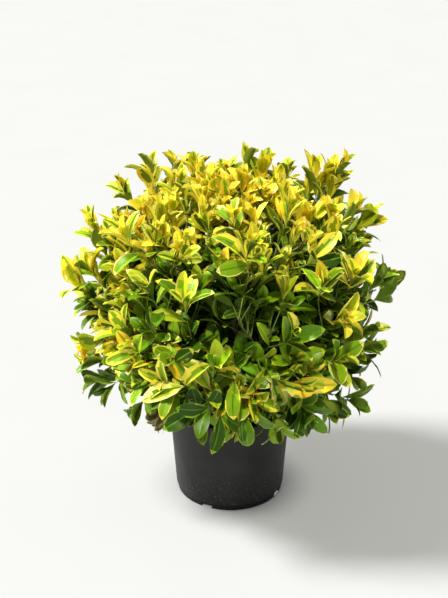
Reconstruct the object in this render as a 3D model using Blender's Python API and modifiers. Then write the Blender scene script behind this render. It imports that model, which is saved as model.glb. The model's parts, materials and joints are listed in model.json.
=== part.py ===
"""A potted Japanese spindle: a round, dense evergreen shrub with variegated leaves, in a nursery pot.

The middle of the pot's flat underside is the origin, +Z is up, and -Y is the shrub's front. A short stem stands
on the potting compost and forks into boughs and side limbs, and each of them ends where it enters its own mass
of foliage. Sizes are in metres and angles in degrees.
"""

import math
import random

import bmesh
import bpy
from mathutils import Quaternion, Vector
from mathutils.bvhtree import BVHTree

# Clearance kept between any two pieces that would touch.
GAP = 0.0003
MERGE = 0.00001

# The pot: a ten-litre nursery container.
POT_HEIGHT = 0.220
POT_RIM_RADIUS = 0.1400
POT_TOP_RADIUS = 0.1375
POT_BASE_RADIUS = 0.1235
POT_WALL = 0.0025
POT_FLOOR = 0.0040
RIM_DEPTH = 0.012
LIP_ROUND = 0.0012
LIP_DRAFT = 0.0004
FOOT_HEIGHT = 0.014
FOOT_INSET = 0.0030
POT_STEPS = 48
DRAIN_SLOTS = 4
DRAIN_SLOT_WIDTH = 0.026
DRAIN_SLOT_HEIGHT = 0.0085
DRAIN_SLOT_DEPTH = 0.012
DRAIN_SLOT_AZIMUTH = -116.0

# The compost that fills it.
COMPOST_TOP = 0.200
COMPOST_FALL = 0.004
COMPOST_FLAT_RADIUS = 0.045

# The crown: a squarish globe of leaves, measured from the hub where its boughs part.
HUB = Vector((0.0, 0.0, 0.400))
UPWARDS = Vector((0.0, 0.0, 1.0))
CROWN_CENTRE = Vector((0.0, 0.0, 0.475))
CROWN_RADIUS = 0.332
CROWN_RISE = 0.325
CROWN_DROP = 0.270
CROWN_SQUARENESS = 3.0
REACH_HALVINGS = 20

# The stem.
TRUNK_HEIGHT = 0.078
TRUNK_RADIUS = 0.0145
TRUNK_FLARE = 0.0225
TRUNK_KNUCKLE = 0.0190
TRUNK_LEAN = Vector((0.005, -0.003, 0.0))
# The stem's sections: share of its height, and radius.
TRUNK_SECTIONS = (
    (0.00, TRUNK_FLARE),
    (0.10, 0.0181),
    (0.28, 0.0153),
    (0.55, TRUNK_RADIUS),
    (0.78, TRUNK_KNUCKLE),
    (0.92, 0.0163),
    (1.00, 0.0095),
)

# The rings of masses: name, how many, azimuth of the first and elevation seen from the hub.
SECTORS = 7
SECTOR = 360.0 / SECTORS
FIRST_SECTOR = -102.0
UPPER_MASSES = 5
RINGS = (
    ("crest", 1, 0.0, 90.0),
    ("upper", UPPER_MASSES, FIRST_SECTOR + 36.0, 52.0),
    ("middle", SECTORS, FIRST_SECTOR + SECTOR / 2, 14.0),
    ("skirt", SECTORS, FIRST_SECTOR, -26.0),
)
# A ring's boughs: where they leave the stem, how steeply, their radii and how far they turn up at their tips.
BOUGHS = {
    "crest": (0.86, 90.0, 0.0064, 0.0044, 0.0),
    "middle": (0.62, 38.0, 0.0068, 0.0042, 0.25),
    "skirt": (0.44, 24.0, 0.0050, 0.0036, 0.0),
}
# The upper ring's limbs: the share of a middle bough at which they fork off it, their radii and their turn up.
UPPER_LIMB = (0.50, 0.0048, 0.0038, 0.20)
FORK_ALONG = 0.30
# Shares of the way from the hub to the crown's surface: where a limb enters its mass, and its stem's length.
ENTRY_SHARE = 0.46
STEM_SHARE = 0.20
LIMB_SPANS = 4
LIMB_BOW = 0.38
# Bevel resolutions: a limb has 6 sides and the trunk has 8.
LIMB_ROUNDNESS = 1
TRUNK_ROUNDNESS = 2
CORNER_TO_FLAT = 1.0 / math.cos(math.pi / 6)
SHARP = 40.0

# The dense inside of each mass: where its middle lies, and how much of the room about it the core fills.
CORE_SHARE = 0.64
CORE_RADIUS = 0.105
CORE_DEPTH = 0.048
CORE_SIDES = 7
CORE_RINGS = 4
CORE_FILL = 0.95

# Shoots that lead the rest: azimuth, elevation from the hub, and how far they stand out.
LEADERS = (
    (180.0, 67.0, 0.012),
    (184.0, 45.0, 0.010),
    (188.0, 20.0, 0.046),
    (180.0, 9.0, 0.024),
    (181.0, -6.0, 0.030),
    (187.0, -20.0, 0.044),
    (12.0, 57.0, 0.030),
    (0.0, 42.0, 0.012),
    (-5.0, 19.0, 0.056),
    (4.0, 7.0, 0.054),
    (-3.0, -9.0, 0.016),
    (-9.0, -27.0, 0.050),
    (-24.0, -36.0, 0.030),
    (-97.0, -42.0, 0.020),
    (-46.0, -43.0, 0.024),
    (-147.0, -39.0, 0.014),
)

# Twigs.
TWIG_SEED = 5
SHOOTS_ALL_ROUND = 120
LOWEST_SHOOT = 0.262
SHOOT_SPACING = 0.55
SHOOT_PULL = 0.20
SHOOT_RISE = 0.55
SHOOT_DROOP = -0.25
SHOOT_DEPTH = 0.80
TWIG_SPANS = 3
TWIG_FIRST = 0.45
TWIG_LAST = 0.95
CROWN_SLACK = 1.03
STEM_SIDES = 5
STEM_TAKE = 0.95
TWIG_SIDES = 3
TWIG_RADIUS = 0.0028
TWIG_TIP_RADIUS = 0.0020
WALL_MARGIN = 0.0008
LIMB_MARGIN = 0.0015
POT_MARGIN = 0.0020
EDGE_SHARES = (0.2, 0.4, 0.6, 0.8)

# Leaves, larger than life and fewer.
LEAF_LENGTH = 0.092
LEAF_WIDTH = 0.050
LEAF_THICKNESS = 0.0018
LEAF_FOLD = 0.18
LEAF_WIDEST = 0.56
LEAF_SINK = 0.0012
LEAF_ROLL = 14.0
# A leaf that doesn't fit is tried again, turned further from its place and more closed each time.
LEAF_TRIES = 10
TRY_TURN = 9.0
TRY_CLOSING = 0.07
OPENING_JITTER = 4.0
SIZE_JITTER = (0.90, 1.04)
# How far each leaf of a rosette stands behind its shoot's tip, how far it opens, its turn and its size.
ROSETTE = (
    (0.007, 22.0, 0.0, 0.84),
    (0.012, 38.0, 180.0, 0.94),
    (0.018, 52.0, 90.0, 1.00),
    (0.024, 62.0, 270.0, 1.00),
    (0.033, 76.0, 45.0, 0.96),
)

POT_BLACK = (0.030, 0.031, 0.028)
COMPOST_BROWN = (0.052, 0.032, 0.020)
BARK_GREY_GREEN = (0.190, 0.170, 0.090)
LEAF_YELLOW_GREEN = (0.480, 0.520, 0.050)


# ---------------------------------------------------------------- plain tools


def clear_scene():
    for obj in list(bpy.data.objects):
        bpy.data.objects.remove(obj)


def new_collection(name):
    made = bpy.data.collections.new(name)
    bpy.context.scene.collection.children.link(made)
    return made


def material(name, colour, roughness):
    made = bpy.data.materials.new(name)
    made.use_nodes = True
    shader = made.node_tree.nodes["Principled BSDF"]
    shader.inputs["Base Color"].default_value = (*colour, 1.0)
    shader.inputs["Roughness"].default_value = roughness
    shader.inputs["Metallic"].default_value = 0.0
    return made


def mesh_object(name, bm, collection, finish=None):
    mesh = bpy.data.meshes.new(name)
    bm.to_mesh(mesh)
    bm.free()
    obj = bpy.data.objects.new(name, mesh)
    collection.objects.link(obj)
    if finish:
        mesh.materials.append(finish)
    return obj


def evaluated_mesh(obj):
    """A plain mesh of what the object shows, with its modifiers applied."""
    bpy.context.view_layer.update()
    graph = bpy.context.evaluated_depsgraph_get()
    return bpy.data.meshes.new_from_object(obj.evaluated_get(graph))


def as_mesh_object(curve):
    """Replaces a bevelled curve by a mesh object of the same name, with its caps welded on."""
    mesh = evaluated_mesh(curve)
    bm = bmesh.new()
    bm.from_mesh(mesh)
    bmesh.ops.remove_doubles(bm, verts=bm.verts, dist=MERGE)
    bmesh.ops.recalc_face_normals(bm, faces=bm.faces)
    bm.to_mesh(mesh)
    bm.free()
    name, place, homes = curve.name, curve.matrix_world.copy(), list(curve.users_collection)
    bpy.data.objects.remove(curve)
    obj = bpy.data.objects.new(name, mesh)
    obj.matrix_world = place
    for home in homes:
        home.objects.link(obj)
    return obj


def apply_modifiers(obj):
    mesh = evaluated_mesh(obj)
    obj.modifiers.clear()
    obj.data = mesh


def helper(obj):
    """Marks a cutter or guide, which isn't part of the shrub."""
    obj.hide_render = True
    obj.display_type = "WIRE"
    return obj


def heading(azimuth, elevation):
    """A unit vector from two angles in degrees."""
    turn, rise = math.radians(azimuth), math.radians(elevation)
    level = math.cos(rise)
    return Vector((level * math.cos(turn), level * math.sin(turn), math.sin(rise)))


def mix(a, b, share):
    return a + (b - a) * share


def bezier(start, leave, arrive, end, share):
    """A point on a cubic curve from start to end, whose handles are leave and arrive."""
    back = 1.0 - share
    return (
        start * back**3
        + leave * (3 * back**2 * share)
        + arrive * (3 * back * share**2)
        + end * share**3
    )


# ---------------------------------------------------------------- pot and compost


def wall_radius(height):
    """The outer radius of the pot's tapered wall."""
    return mix(POT_BASE_RADIUS, POT_TOP_RADIUS, height / (POT_HEIGHT - RIM_DEPTH))


def turned(name, profile, collection, finish):
    """A solid turned about the pot's axis from (radius, height) pairs that run down its outer side."""
    bm = bmesh.new()
    points = [bm.verts.new((radius, 0.0, height)) for radius, height in profile]
    for a, b in zip(points, points[1:]):
        bm.edges.new((a, b))
    obj = mesh_object(name, bm, collection, finish)
    screw = obj.modifiers.new("Turn", "SCREW")
    screw.steps = POT_STEPS
    screw.render_steps = POT_STEPS
    screw.use_merge_vertices = True
    screw.merge_threshold = MERGE
    return obj


def drain_slot_cutters(collection):
    """One mesh of blocks that cut the drain slots through the foot of the pot."""
    bm = bmesh.new()
    for k in range(DRAIN_SLOTS):
        block = bmesh.ops.create_cube(bm, size=1.0)["verts"]
        bmesh.ops.scale(
            bm,
            vec=(2 * DRAIN_SLOT_DEPTH, DRAIN_SLOT_WIDTH, 2 * DRAIN_SLOT_HEIGHT),
            verts=block,
        )
        outwards = heading(DRAIN_SLOT_AZIMUTH + 360.0 * k / DRAIN_SLOTS, 0.0)
        turn = outwards.to_track_quat("X", "Z").to_matrix()
        bmesh.ops.rotate(bm, matrix=turn, verts=block)
        bmesh.ops.translate(bm, vec=outwards * POT_BASE_RADIUS, verts=block)
    return helper(mesh_object("drain_slot_cutters", bm, collection))


def make_pot(collection, cutters, finish):
    foot = POT_BASE_RADIUS - FOOT_INSET
    under_rim = POT_HEIGHT - RIM_DEPTH
    profile = [
        (0.0, POT_FLOOR),
        (foot - POT_WALL, POT_FLOOR),
        (wall_radius(FOOT_HEIGHT) - POT_WALL, FOOT_HEIGHT),
        (wall_radius(under_rim) - POT_WALL, under_rim),
        (POT_TOP_RADIUS - POT_WALL, POT_HEIGHT - LIP_ROUND),
        (POT_TOP_RADIUS - POT_WALL + LIP_ROUND, POT_HEIGHT),
        (POT_RIM_RADIUS - LIP_ROUND, POT_HEIGHT),
        (POT_RIM_RADIUS, POT_HEIGHT - LIP_ROUND),
        (POT_RIM_RADIUS - LIP_DRAFT, under_rim),
        (wall_radius(under_rim), under_rim - LIP_ROUND),
        (wall_radius(FOOT_HEIGHT), FOOT_HEIGHT),
        (foot + LIP_DRAFT, FOOT_HEIGHT - LIP_ROUND),
        (foot, 0.0),
        (0.0, 0.0),
    ]
    pot = turned("pot", profile, collection, finish)
    slots = pot.modifiers.new("Drain slots", "BOOLEAN")
    slots.operation = "DIFFERENCE"
    slots.object = drain_slot_cutters(cutters)
    pot.data.shade_smooth()


def make_compost(collection, finish):
    inside = POT_WALL + GAP
    foot = POT_BASE_RADIUS - FOOT_INSET
    edge = COMPOST_TOP - COMPOST_FALL
    profile = [
        (0.0, COMPOST_TOP),
        (COMPOST_FLAT_RADIUS, COMPOST_TOP),
        (wall_radius(edge) - inside, edge),
        (wall_radius(FOOT_HEIGHT) - inside, FOOT_HEIGHT),
        (foot - inside, POT_FLOOR + GAP),
        (0.0, POT_FLOOR + GAP),
    ]
    turned("compost", profile, collection, finish)


# ---------------------------------------------------------------- the crown's shape


def outside_crown(point):
    offset = point - CROWN_CENTRE
    height = CROWN_RISE if offset.z > 0 else CROWN_DROP
    across = offset.xy.length / CROWN_RADIUS
    return across**CROWN_SQUARENESS + (abs(offset.z) / height) ** CROWN_SQUARENESS > 1


def reach_from(start, direction):
    """How far the crown's surface is from a point inside it along a direction."""
    near, far = 0.0, 2 * CROWN_RADIUS
    for _ in range(REACH_HALVINGS):
        middle = (near + far) / 2
        if outside_crown(start + direction * middle):
            far = middle
        else:
            near = middle
    return near


def crown_reach(direction):
    return reach_from(HUB, direction)


def in_crown(direction, share):
    """The point at this share of the way from the hub to the crown's surface."""
    return HUB + direction * (crown_reach(direction) * share)


def masses():
    """(name, direction from the hub) of every mass of foliage, ring by ring."""
    made = []
    for ring, count, first, elevation in RINGS:
        for k in range(count):
            direction = heading(first + 360.0 * k / count, elevation)
            made.append((ring if count == 1 else f"{ring}_{k + 1}", direction))
    return made


def spread_directions(count):
    """Directions spread evenly over a sphere, on a golden-angle spiral."""
    golden = 180.0 * (3.0 - math.sqrt(5.0))
    for k in range(count):
        elevation = math.degrees(math.asin(1.0 - (2 * k + 1) / count))
        yield heading(golden * k, elevation)


# ---------------------------------------------------------------- stem, boughs and limbs


class Limb:
    """The line of one tapering limb: its points, the radius at each, and how round it is."""

    def __init__(self, name, points, radii, roundness=LIMB_ROUNDNESS):
        self.name, self.points, self.radii, self.roundness = name, points, radii, roundness

    def curve(self, name, swell, collection):
        """A bevelled curve of the limb, grown by swell all round."""
        data = bpy.data.curves.new(name, "CURVE")
        data.dimensions = "3D"
        data.bevel_depth = 1.0
        data.bevel_resolution = self.roundness
        data.use_fill_caps = True
        spline = data.splines.new("POLY")
        spline.points.add(len(self.points) - 1)
        for knot, point, radius in zip(spline.points, self.points, self.radii):
            knot.co = (*point, 1.0)
            knot.radius = radius + swell
        made = bpy.data.objects.new(name, data)
        collection.objects.link(made)
        return made

    def at(self, share):
        """The point at this share of the limb's spans."""
        place = share * (len(self.points) - 1)
        k = min(int(place), len(self.points) - 2)
        return mix(self.points[k], self.points[k + 1], place - k)

    def arrives(self):
        return (self.points[-1] - self.points[-2]).normalized()


def trunk_line():
    """The short stem, flared at the compost and swollen into a knuckle where the boughs part."""
    foot = Vector((0.0, 0.0, COMPOST_TOP + GAP))
    points = [
        foot + UPWARDS * (TRUNK_HEIGHT * share) + TRUNK_LEAN * share**2
        for share, _ in TRUNK_SECTIONS
    ]
    return Limb("trunk", points, [radius for _, radius in TRUNK_SECTIONS], TRUNK_ROUNDNESS)


def arching_limb(name, start, leaving, end, arriving, thick, thin):
    """A limb that leaves start along one heading and arrives at end along another."""
    bow = (end - start).length * LIMB_BOW
    shares = [k / LIMB_SPANS for k in range(LIMB_SPANS + 1)]
    points = [
        bezier(start, start + leaving * bow, end - arriving * bow, end, share)
        for share in shares
    ]
    return Limb(name, points, [mix(thick, thin, share) for share in shares])


def azimuth_of(direction):
    return math.degrees(math.atan2(direction.y, direction.x))


def turn_between(a, b):
    return abs((a - b + 180.0) % 360.0 - 180.0)


def bough_line(trunk, ring, name, direction):
    """A bough from the stem to the mass of this name."""
    fork, rise, thick, thin, lift = BOUGHS[ring]
    leaving = heading(azimuth_of(direction), rise)
    arriving = mix(direction, UPWARDS, lift).normalized()
    end = in_crown(direction, ENTRY_SHARE)
    return arching_limb(f"bough_{name}", trunk.at(fork), leaving, end, arriving, thick, thin)


def upper_limb_line(parent, name, direction):
    """A side limb from the middle of a bough to the mass of this name above it."""
    fork, thick, thin, lift = UPPER_LIMB
    start, end = parent.at(fork), in_crown(direction, ENTRY_SHARE)
    leaving = mix((end - start).normalized(), parent.arrives(), FORK_ALONG).normalized()
    arriving = mix(direction, UPWARDS, lift).normalized()
    return arching_limb(f"limb_{name}", start, leaving, end, arriving, thick, thin)


def limb_lines():
    """The line of the stem and of every limb, each with the line that it grows from."""
    trunk = trunk_line()
    lines, carriers, upper = [(trunk, None)], {}, []
    for name, direction in masses():
        ring = name.split("_")[0]
        if ring not in BOUGHS:
            upper.append((name, direction))
            continue
        bough = bough_line(trunk, ring, name, direction)
        lines.append((bough, trunk))
        if ring == "middle":
            carriers[azimuth_of(direction)] = bough
    for name, direction in upper:
        turn = azimuth_of(direction)
        parent = carriers.pop(min(carriers, key=lambda other: turn_between(other, turn)))
        lines.append((upper_limb_line(parent, name, direction), parent))
    return lines


def make_limb(line, parent, collection, cutters, finish):
    """The solid of one limb, cut to stand clear of the limb it grows from."""
    limb = as_mesh_object(line.curve(line.name, 0.0, collection))
    limb.data.materials.append(finish)
    if parent is not None:
        around = parent.curve(f"around_{line.name}", GAP * CORNER_TO_FLAT, cutters)
        around = helper(as_mesh_object(around))
        cut = limb.modifiers.new("Clear of its parent", "BOOLEAN")
        cut.operation = "DIFFERENCE"
        cut.object = around
        apply_modifiers(limb)
        bpy.data.objects.remove(around)
        keep_largest_shell(limb)
    limb.data.shade_smooth()
    limb.data.set_sharp_from_angle(angle=math.radians(SHARP))


# ---------------------------------------------------------------- twigs and leaves


def swept(points, radii, sides):
    """A closed tapering prism that is bent along these points, as a bmesh."""
    bm = bmesh.new()
    bmesh.ops.create_cone(
        bm, cap_ends=True, segments=sides, radius1=1.0, radius2=1.0, depth=1.0
    )
    spans = len(points) - 1
    uprights = [e for e in bm.edges if abs(e.verts[0].co.z - e.verts[1].co.z) > 0.5]
    if spans > 1:
        bmesh.ops.subdivide_edges(bm, edges=uprights, cuts=spans - 1)
    whole = points[-1] - points[0]
    stand = whole.to_track_quat("Z", "Y")
    for vert in bm.verts:
        k = round((vert.co.z + 0.5) * spans)
        ahead = points[min(k + 1, spans)] - points[max(k - 1, 0)]
        corner = stand @ Vector((*vert.co.xy, 0.0))
        vert.co = points[k] + whole.rotation_difference(ahead) @ corner * radii[k]
    return bm


def leaf_blade(root, along, up, size):
    """A leaf: an octahedron drawn out from its root to its tip, with its edges folded up."""
    across = along.cross(up).normalized()
    up = across.cross(along)
    bm = bmesh.new()
    bmesh.ops.create_uvsphere(bm, u_segments=4, v_segments=2, radius=1.0)
    for vert in bm.verts:
        side, face, end = vert.co
        share = LEAF_WIDEST + end * (1 - LEAF_WIDEST if end > 0 else LEAF_WIDEST)
        lift = LEAF_WIDTH * LEAF_FOLD * abs(side) + LEAF_THICKNESS / 2 * face
        offset = across * (LEAF_WIDTH / 2 * side) + up * lift + along * (LEAF_LENGTH * share)
        vert.co = root + offset * size
    return bm


class Space:
    """The room of one mass of foliage: the wedge of the crown that is nearest to its direction."""

    def __init__(self, name, direction, others):
        self.name, self.direction = name, direction
        self.walls = [(direction - other).normalized() for other in others]

    def room(self, start, offset):
        """The share of an offset from start that fits between the walls, 1 where all of it does."""
        share = 1.0
        for wall in self.walls:
            towards = -offset.dot(wall)
            if towards > 0:
                share = min(share, ((start - HUB).dot(wall) - WALL_MARGIN) / towards)
        return share

    def holds(self, bm, swell):
        """True where a piece stays in the wedge, off the pot and inside the crown grown by swell."""
        for point in edge_points(bm):
            if any((point - HUB).dot(wall) < WALL_MARGIN for wall in self.walls):
                return False
            if not clear_of_pot(point):
                return False
            if outside_crown(CROWN_CENTRE + (point - CROWN_CENTRE) / swell):
                return False
        return True


def clear_of_pot(point):
    beside = point.xy.length > POT_RIM_RADIUS + POT_MARGIN
    return beside or point.z > POT_HEIGHT + POT_MARGIN


def edge_points(bm):
    """The corners of a piece, and points along its edges."""
    corners = [vert.co for vert in bm.verts]
    ends = [(e.verts[0].co, e.verts[1].co) for e in bm.edges]
    return corners + [mix(a, b, share) for a, b in ends for share in EDGE_SHARES]


def shoot_heading(direction):
    """How a shoot points at its tip: outwards, and higher up the shrub also upwards."""
    lift = mix(SHOOT_DROOP, SHOOT_RISE, (direction.z + 0.5) / 1.5)
    return (direction + UPWARDS * lift).normalized()


def shoots():
    """(direction from the hub, how far it leads) of every shoot's tip."""
    made = [(heading(azimuth, elevation), lead) for azimuth, elevation, lead in LEADERS]
    apart = math.cos(math.sqrt(4 * math.pi / SHOOTS_ALL_ROUND) * SHOOT_SPACING)
    for from_centre in spread_directions(SHOOTS_ALL_ROUND):
        surface = CROWN_CENTRE + from_centre * reach_from(CROWN_CENTRE, from_centre)
        direction = (surface - HUB).normalized()
        crowded = any(direction.dot(leader) > apart for leader, _ in made[: len(LEADERS)])
        if surface.z > LOWEST_SHOOT and not crowded:
            made.append((direction, 0.0))
    return made


def tapering(name, points, thick, thin):
    """A limb whose radius falls evenly from its first point to its last."""
    spans = len(points) - 1
    return Limb(name, points, [mix(thick, thin, k / spans) for k in range(spans + 1)])


def stem_line(space, limb):
    """The short stem that carries a mass straight on from its limb's tip, then bends into its middle."""
    arriving = limb.arrives()
    start = limb.points[-1] + arriving * GAP
    end = in_crown(space.direction, ENTRY_SHARE + STEM_SHARE)
    third = (end - start).length / 3
    onward = start + arriving * third
    points = [start, onward, mix(onward + arriving * third, end, 0.5), end]
    return tapering(f"foliage_{space.name}", points, limb.radii[-1] * STEM_TAKE, TWIG_RADIUS)


def core_lump(space):
    """The dense inside of a mass: a lump that its twigs and leaves stand out of, short of its walls."""
    bm = bmesh.new()
    bmesh.ops.create_uvsphere(bm, u_segments=CORE_SIDES, v_segments=CORE_RINGS, radius=1.0)
    middle = in_crown(space.direction, CORE_SHARE)
    stand = space.direction.to_track_quat("Z", "Y")
    shape = Vector((CORE_RADIUS, CORE_RADIUS, CORE_DEPTH))
    for vert in bm.verts:
        offset = stand @ (vert.co * shape)
        vert.co = middle + offset * space.room(middle, offset) * CORE_FILL
    return bm


def twig_line(space, stem, direction, lead):
    """A twig from a mass's stem to the tip of one shoot."""
    drawn_in = mix(direction, space.direction, 0.0 if lead else SHOOT_PULL).normalized()
    ahead = shoot_heading(drawn_in)
    surface = HUB + drawn_in * (crown_reach(drawn_in) + lead)
    tip = surface - mix(drawn_in, ahead, 0.5).normalized() * LEAF_LENGTH * SHOOT_DEPTH
    # A twig in line with its mass leaves the stem near its end, and one off to the side lower down.
    in_line = max(0.0, 1.0 - 4.0 * (1.0 - direction.dot(space.direction)))
    root = stem.at(mix(TWIG_FIRST, TWIG_LAST, in_line))
    bow = (tip - root).length * LIMB_BOW
    points = [
        bezier(root, mix(root, tip, LIMB_BOW), tip - ahead * bow, tip, k / TWIG_SPANS)
        for k in range(TWIG_SPANS + 1)
    ]
    return tapering("twig", points, TWIG_RADIUS, TWIG_TIP_RADIUS)


def rosette_leaf(twig, back, opening, turn, size, rng):
    """One leaf of a shoot's rosette, its root sunk from the far side of the twig."""
    ahead = twig.arrives()
    sideways = ahead.orthogonal().normalized()
    sideways.rotate(Quaternion(ahead, math.radians(turn)))
    along = ahead * math.cos(math.radians(opening)) + sideways * math.sin(math.radians(opening))
    node = twig.points[-1] - ahead * back
    root = node - sideways * LEAF_SINK
    up = ahead * math.sin(math.radians(opening)) - sideways * math.cos(math.radians(opening))
    up.rotate(Quaternion(along, math.radians(rng.uniform(-LEAF_ROLL, LEAF_ROLL))))
    return leaf_blade(root, along, up, size)


def tree_of(bm):
    return BVHTree.FromBMesh(bm)


def fitting_leaf(space, twig, place, first, swell, others, limbs, rng):
    """(mesh, tree) of one leaf of a rosette that touches nothing and keeps to its space, or None."""
    back, opening, turn, size = place
    for attempt in range(LEAF_TRIES):
        swing = first + turn + rng.uniform(-TRY_TURN, TRY_TURN) * (1 + attempt)
        spread = opening * (1.0 - TRY_CLOSING * attempt)
        spread += rng.uniform(-OPENING_JITTER, OPENING_JITTER)
        leaf = rosette_leaf(twig, back, spread, swing, size * rng.uniform(*SIZE_JITTER), rng)
        tree = tree_of(leaf)
        touches = tree.overlap(limbs) or any(tree.overlap(other) for other in others)
        if space.holds(leaf, swell) and not touches:
            return leaf, tree
        leaf.free()
    return None


def foliage_pieces(space, stem, tips, limbs):
    """The twigs and leaves of one mass as bmeshes. What leaves its space or touches a limb is skipped."""
    rng = random.Random(f"{TWIG_SEED} {space.name}")
    pieces, placed = [], []
    for direction, lead in tips:
        twig = twig_line(space, stem, direction, lead)
        swell = CROWN_SLACK + lead / CROWN_RADIUS
        solid = swept(twig.points, twig.radii, TWIG_SIDES)
        if not space.holds(solid, swell) or tree_of(solid).overlap(limbs):
            solid.free()
            continue
        pieces.append(solid)
        first = rng.uniform(0.0, 360.0)
        for place in ROSETTE:
            fitted = fitting_leaf(space, twig, place, first, swell, placed, limbs, rng)
            if fitted:
                pieces.append(fitted[0])
                placed.append(fitted[1])
    return pieces


def keep_largest_shell(obj):
    """Drops loose scraps and fills sealed hollows: only the largest closed shell stays."""
    bm = bmesh.new()
    bm.from_mesh(obj.data)
    unseen, shells = set(bm.verts), []
    while unseen:
        edge, shell = [unseen.pop()], []
        while edge:
            vert = edge.pop()
            shell.append(vert)
            for near in (e.other_vert(vert) for e in vert.link_edges):
                if near in unseen:
                    unseen.remove(near)
                    edge.append(near)
        shells.append(shell)
    shells.sort(key=len)
    bmesh.ops.delete(bm, geom=[v for shell in shells[:-1] for v in shell], context="VERTS")
    bm.to_mesh(obj.data)
    bm.free()


def make_foliage(space, limb, tips, limbs, collection, finish):
    """One mass: its stem, with its core, twigs and leaves fused on."""
    stem = stem_line(space, limb)
    solid = swept(stem.points, stem.radii, STEM_SIDES)
    mass = mesh_object(stem.name, solid, collection, finish)
    loose = new_collection("loose")
    pieces = [core_lump(space)] + foliage_pieces(space, stem, tips, limbs)
    for k, piece in enumerate(pieces):
        helper(mesh_object(f"piece_{k}", piece, loose, finish))
    union = mass.modifiers.new("Fused", "BOOLEAN")
    union.operation = "UNION"
    union.operand_type = "COLLECTION"
    union.collection = loose
    union.solver = "EXACT"
    apply_modifiers(mass)
    for piece in list(loose.objects):
        bpy.data.objects.remove(piece)
    bpy.data.collections.remove(loose)
    keep_largest_shell(mass)


# ---------------------------------------------------------------- the whole shrub


def limbs_with_margin(lines, collection):
    """One tree of every limb's surface, swollen by the margin that leaves keep from it."""
    bm = bmesh.new()
    for line, _ in lines:
        around = as_mesh_object(line.curve(f"around_{line.name}", LIMB_MARGIN, collection))
        bm.from_mesh(around.data)
        bpy.data.objects.remove(around)
    tree = tree_of(bm)
    bm.free()
    return tree


def main():
    clear_scene()
    shrub = new_collection("Potted spindle")
    cutters = new_collection("Cutters")
    plastic = material("Pot plastic", POT_BLACK, 0.60)
    compost = material("Potting compost", COMPOST_BROWN, 0.95)
    bark = material("Bark", BARK_GREY_GREEN, 0.80)
    leaf = material("Foliage", LEAF_YELLOW_GREEN, 0.40)
    make_pot(shrub, cutters, plastic)
    make_compost(shrub, compost)
    lines = limb_lines()
    for line, parent in lines:
        make_limb(line, parent, shrub, cutters, bark)
    limbs = limbs_with_margin(lines, cutters)
    named = {line.name.split("_", 1)[-1]: line for line, _ in lines}
    directions = dict(masses())
    tips = {name: [] for name in directions}
    for direction, lead in shoots():
        nearest = max(directions, key=lambda name: directions[name].dot(direction))
        tips[nearest].append((direction, lead))
    for name, direction in directions.items():
        others = [other for other in directions.values() if other != direction]
        space = Space(name, direction, others)
        make_foliage(space, named[name], tips[name], limbs, shrub, leaf)


main()
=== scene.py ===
"""The dressed Japanese spindle: its pot, compost, barked limbs, twigs and leaves, and a plain studio.

Sizes are in metres and angles in degrees. The crown's rule is the same as the solid model's, with the same
named sizes, and is carried on here to finer twigs and to leaves.
"""

import json
import math
import random

import bmesh
import bpy
import numpy as np
from mathutils import Euler, Matrix, Quaternion, Vector, noise

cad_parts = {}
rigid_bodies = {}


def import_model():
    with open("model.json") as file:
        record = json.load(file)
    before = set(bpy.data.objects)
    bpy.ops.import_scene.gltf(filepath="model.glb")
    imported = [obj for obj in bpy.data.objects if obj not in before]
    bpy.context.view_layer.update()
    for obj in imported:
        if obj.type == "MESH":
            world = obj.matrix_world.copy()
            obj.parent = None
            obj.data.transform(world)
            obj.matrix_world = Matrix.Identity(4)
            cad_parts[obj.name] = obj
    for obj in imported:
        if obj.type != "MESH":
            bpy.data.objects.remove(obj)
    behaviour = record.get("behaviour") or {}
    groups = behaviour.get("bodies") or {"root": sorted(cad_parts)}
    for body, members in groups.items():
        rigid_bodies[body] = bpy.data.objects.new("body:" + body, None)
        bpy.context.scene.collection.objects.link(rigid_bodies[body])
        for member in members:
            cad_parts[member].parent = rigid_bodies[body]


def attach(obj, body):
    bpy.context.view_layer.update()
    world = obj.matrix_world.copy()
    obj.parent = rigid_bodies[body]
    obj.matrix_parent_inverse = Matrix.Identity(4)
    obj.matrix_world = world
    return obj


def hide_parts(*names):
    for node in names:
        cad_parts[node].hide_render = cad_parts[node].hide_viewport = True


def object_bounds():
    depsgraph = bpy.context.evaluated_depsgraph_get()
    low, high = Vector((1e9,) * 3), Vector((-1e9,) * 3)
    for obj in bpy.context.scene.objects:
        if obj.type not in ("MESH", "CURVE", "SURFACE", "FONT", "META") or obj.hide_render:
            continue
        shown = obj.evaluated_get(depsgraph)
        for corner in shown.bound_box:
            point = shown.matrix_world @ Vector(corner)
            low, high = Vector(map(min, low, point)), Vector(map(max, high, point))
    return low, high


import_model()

CAD_LOW, CAD_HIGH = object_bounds()

# ---------------------------------------------------------------- sizes shared with the solid model

GAP = 0.0003
MERGE = 0.00001

POT_HEIGHT = 0.220
POT_RIM_RADIUS = 0.1400
POT_TOP_RADIUS = 0.1375
POT_BASE_RADIUS = 0.1235
POT_WALL = 0.0025
POT_FLOOR = 0.0040
RIM_DEPTH = 0.012
FOOT_HEIGHT = 0.014
FOOT_INSET = 0.0030
DRAIN_SLOTS = 4
DRAIN_SLOT_WIDTH = 0.026
DRAIN_SLOT_HEIGHT = 0.0085
DRAIN_SLOT_DEPTH = 0.012
DRAIN_SLOT_AZIMUTH = -116.0

COMPOST_TOP = 0.200
COMPOST_FALL = 0.004
COMPOST_FLAT_RADIUS = 0.045

HUB = Vector((0.0, 0.0, 0.400))
UPWARDS = Vector((0.0, 0.0, 1.0))
CROWN_CENTRE = Vector((0.0, 0.0, 0.475))
CROWN_RADIUS = 0.332
CROWN_RISE = 0.325
CROWN_DROP = 0.270
CROWN_SQUARENESS = 3.0
REACH_HALVINGS = 16

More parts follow.
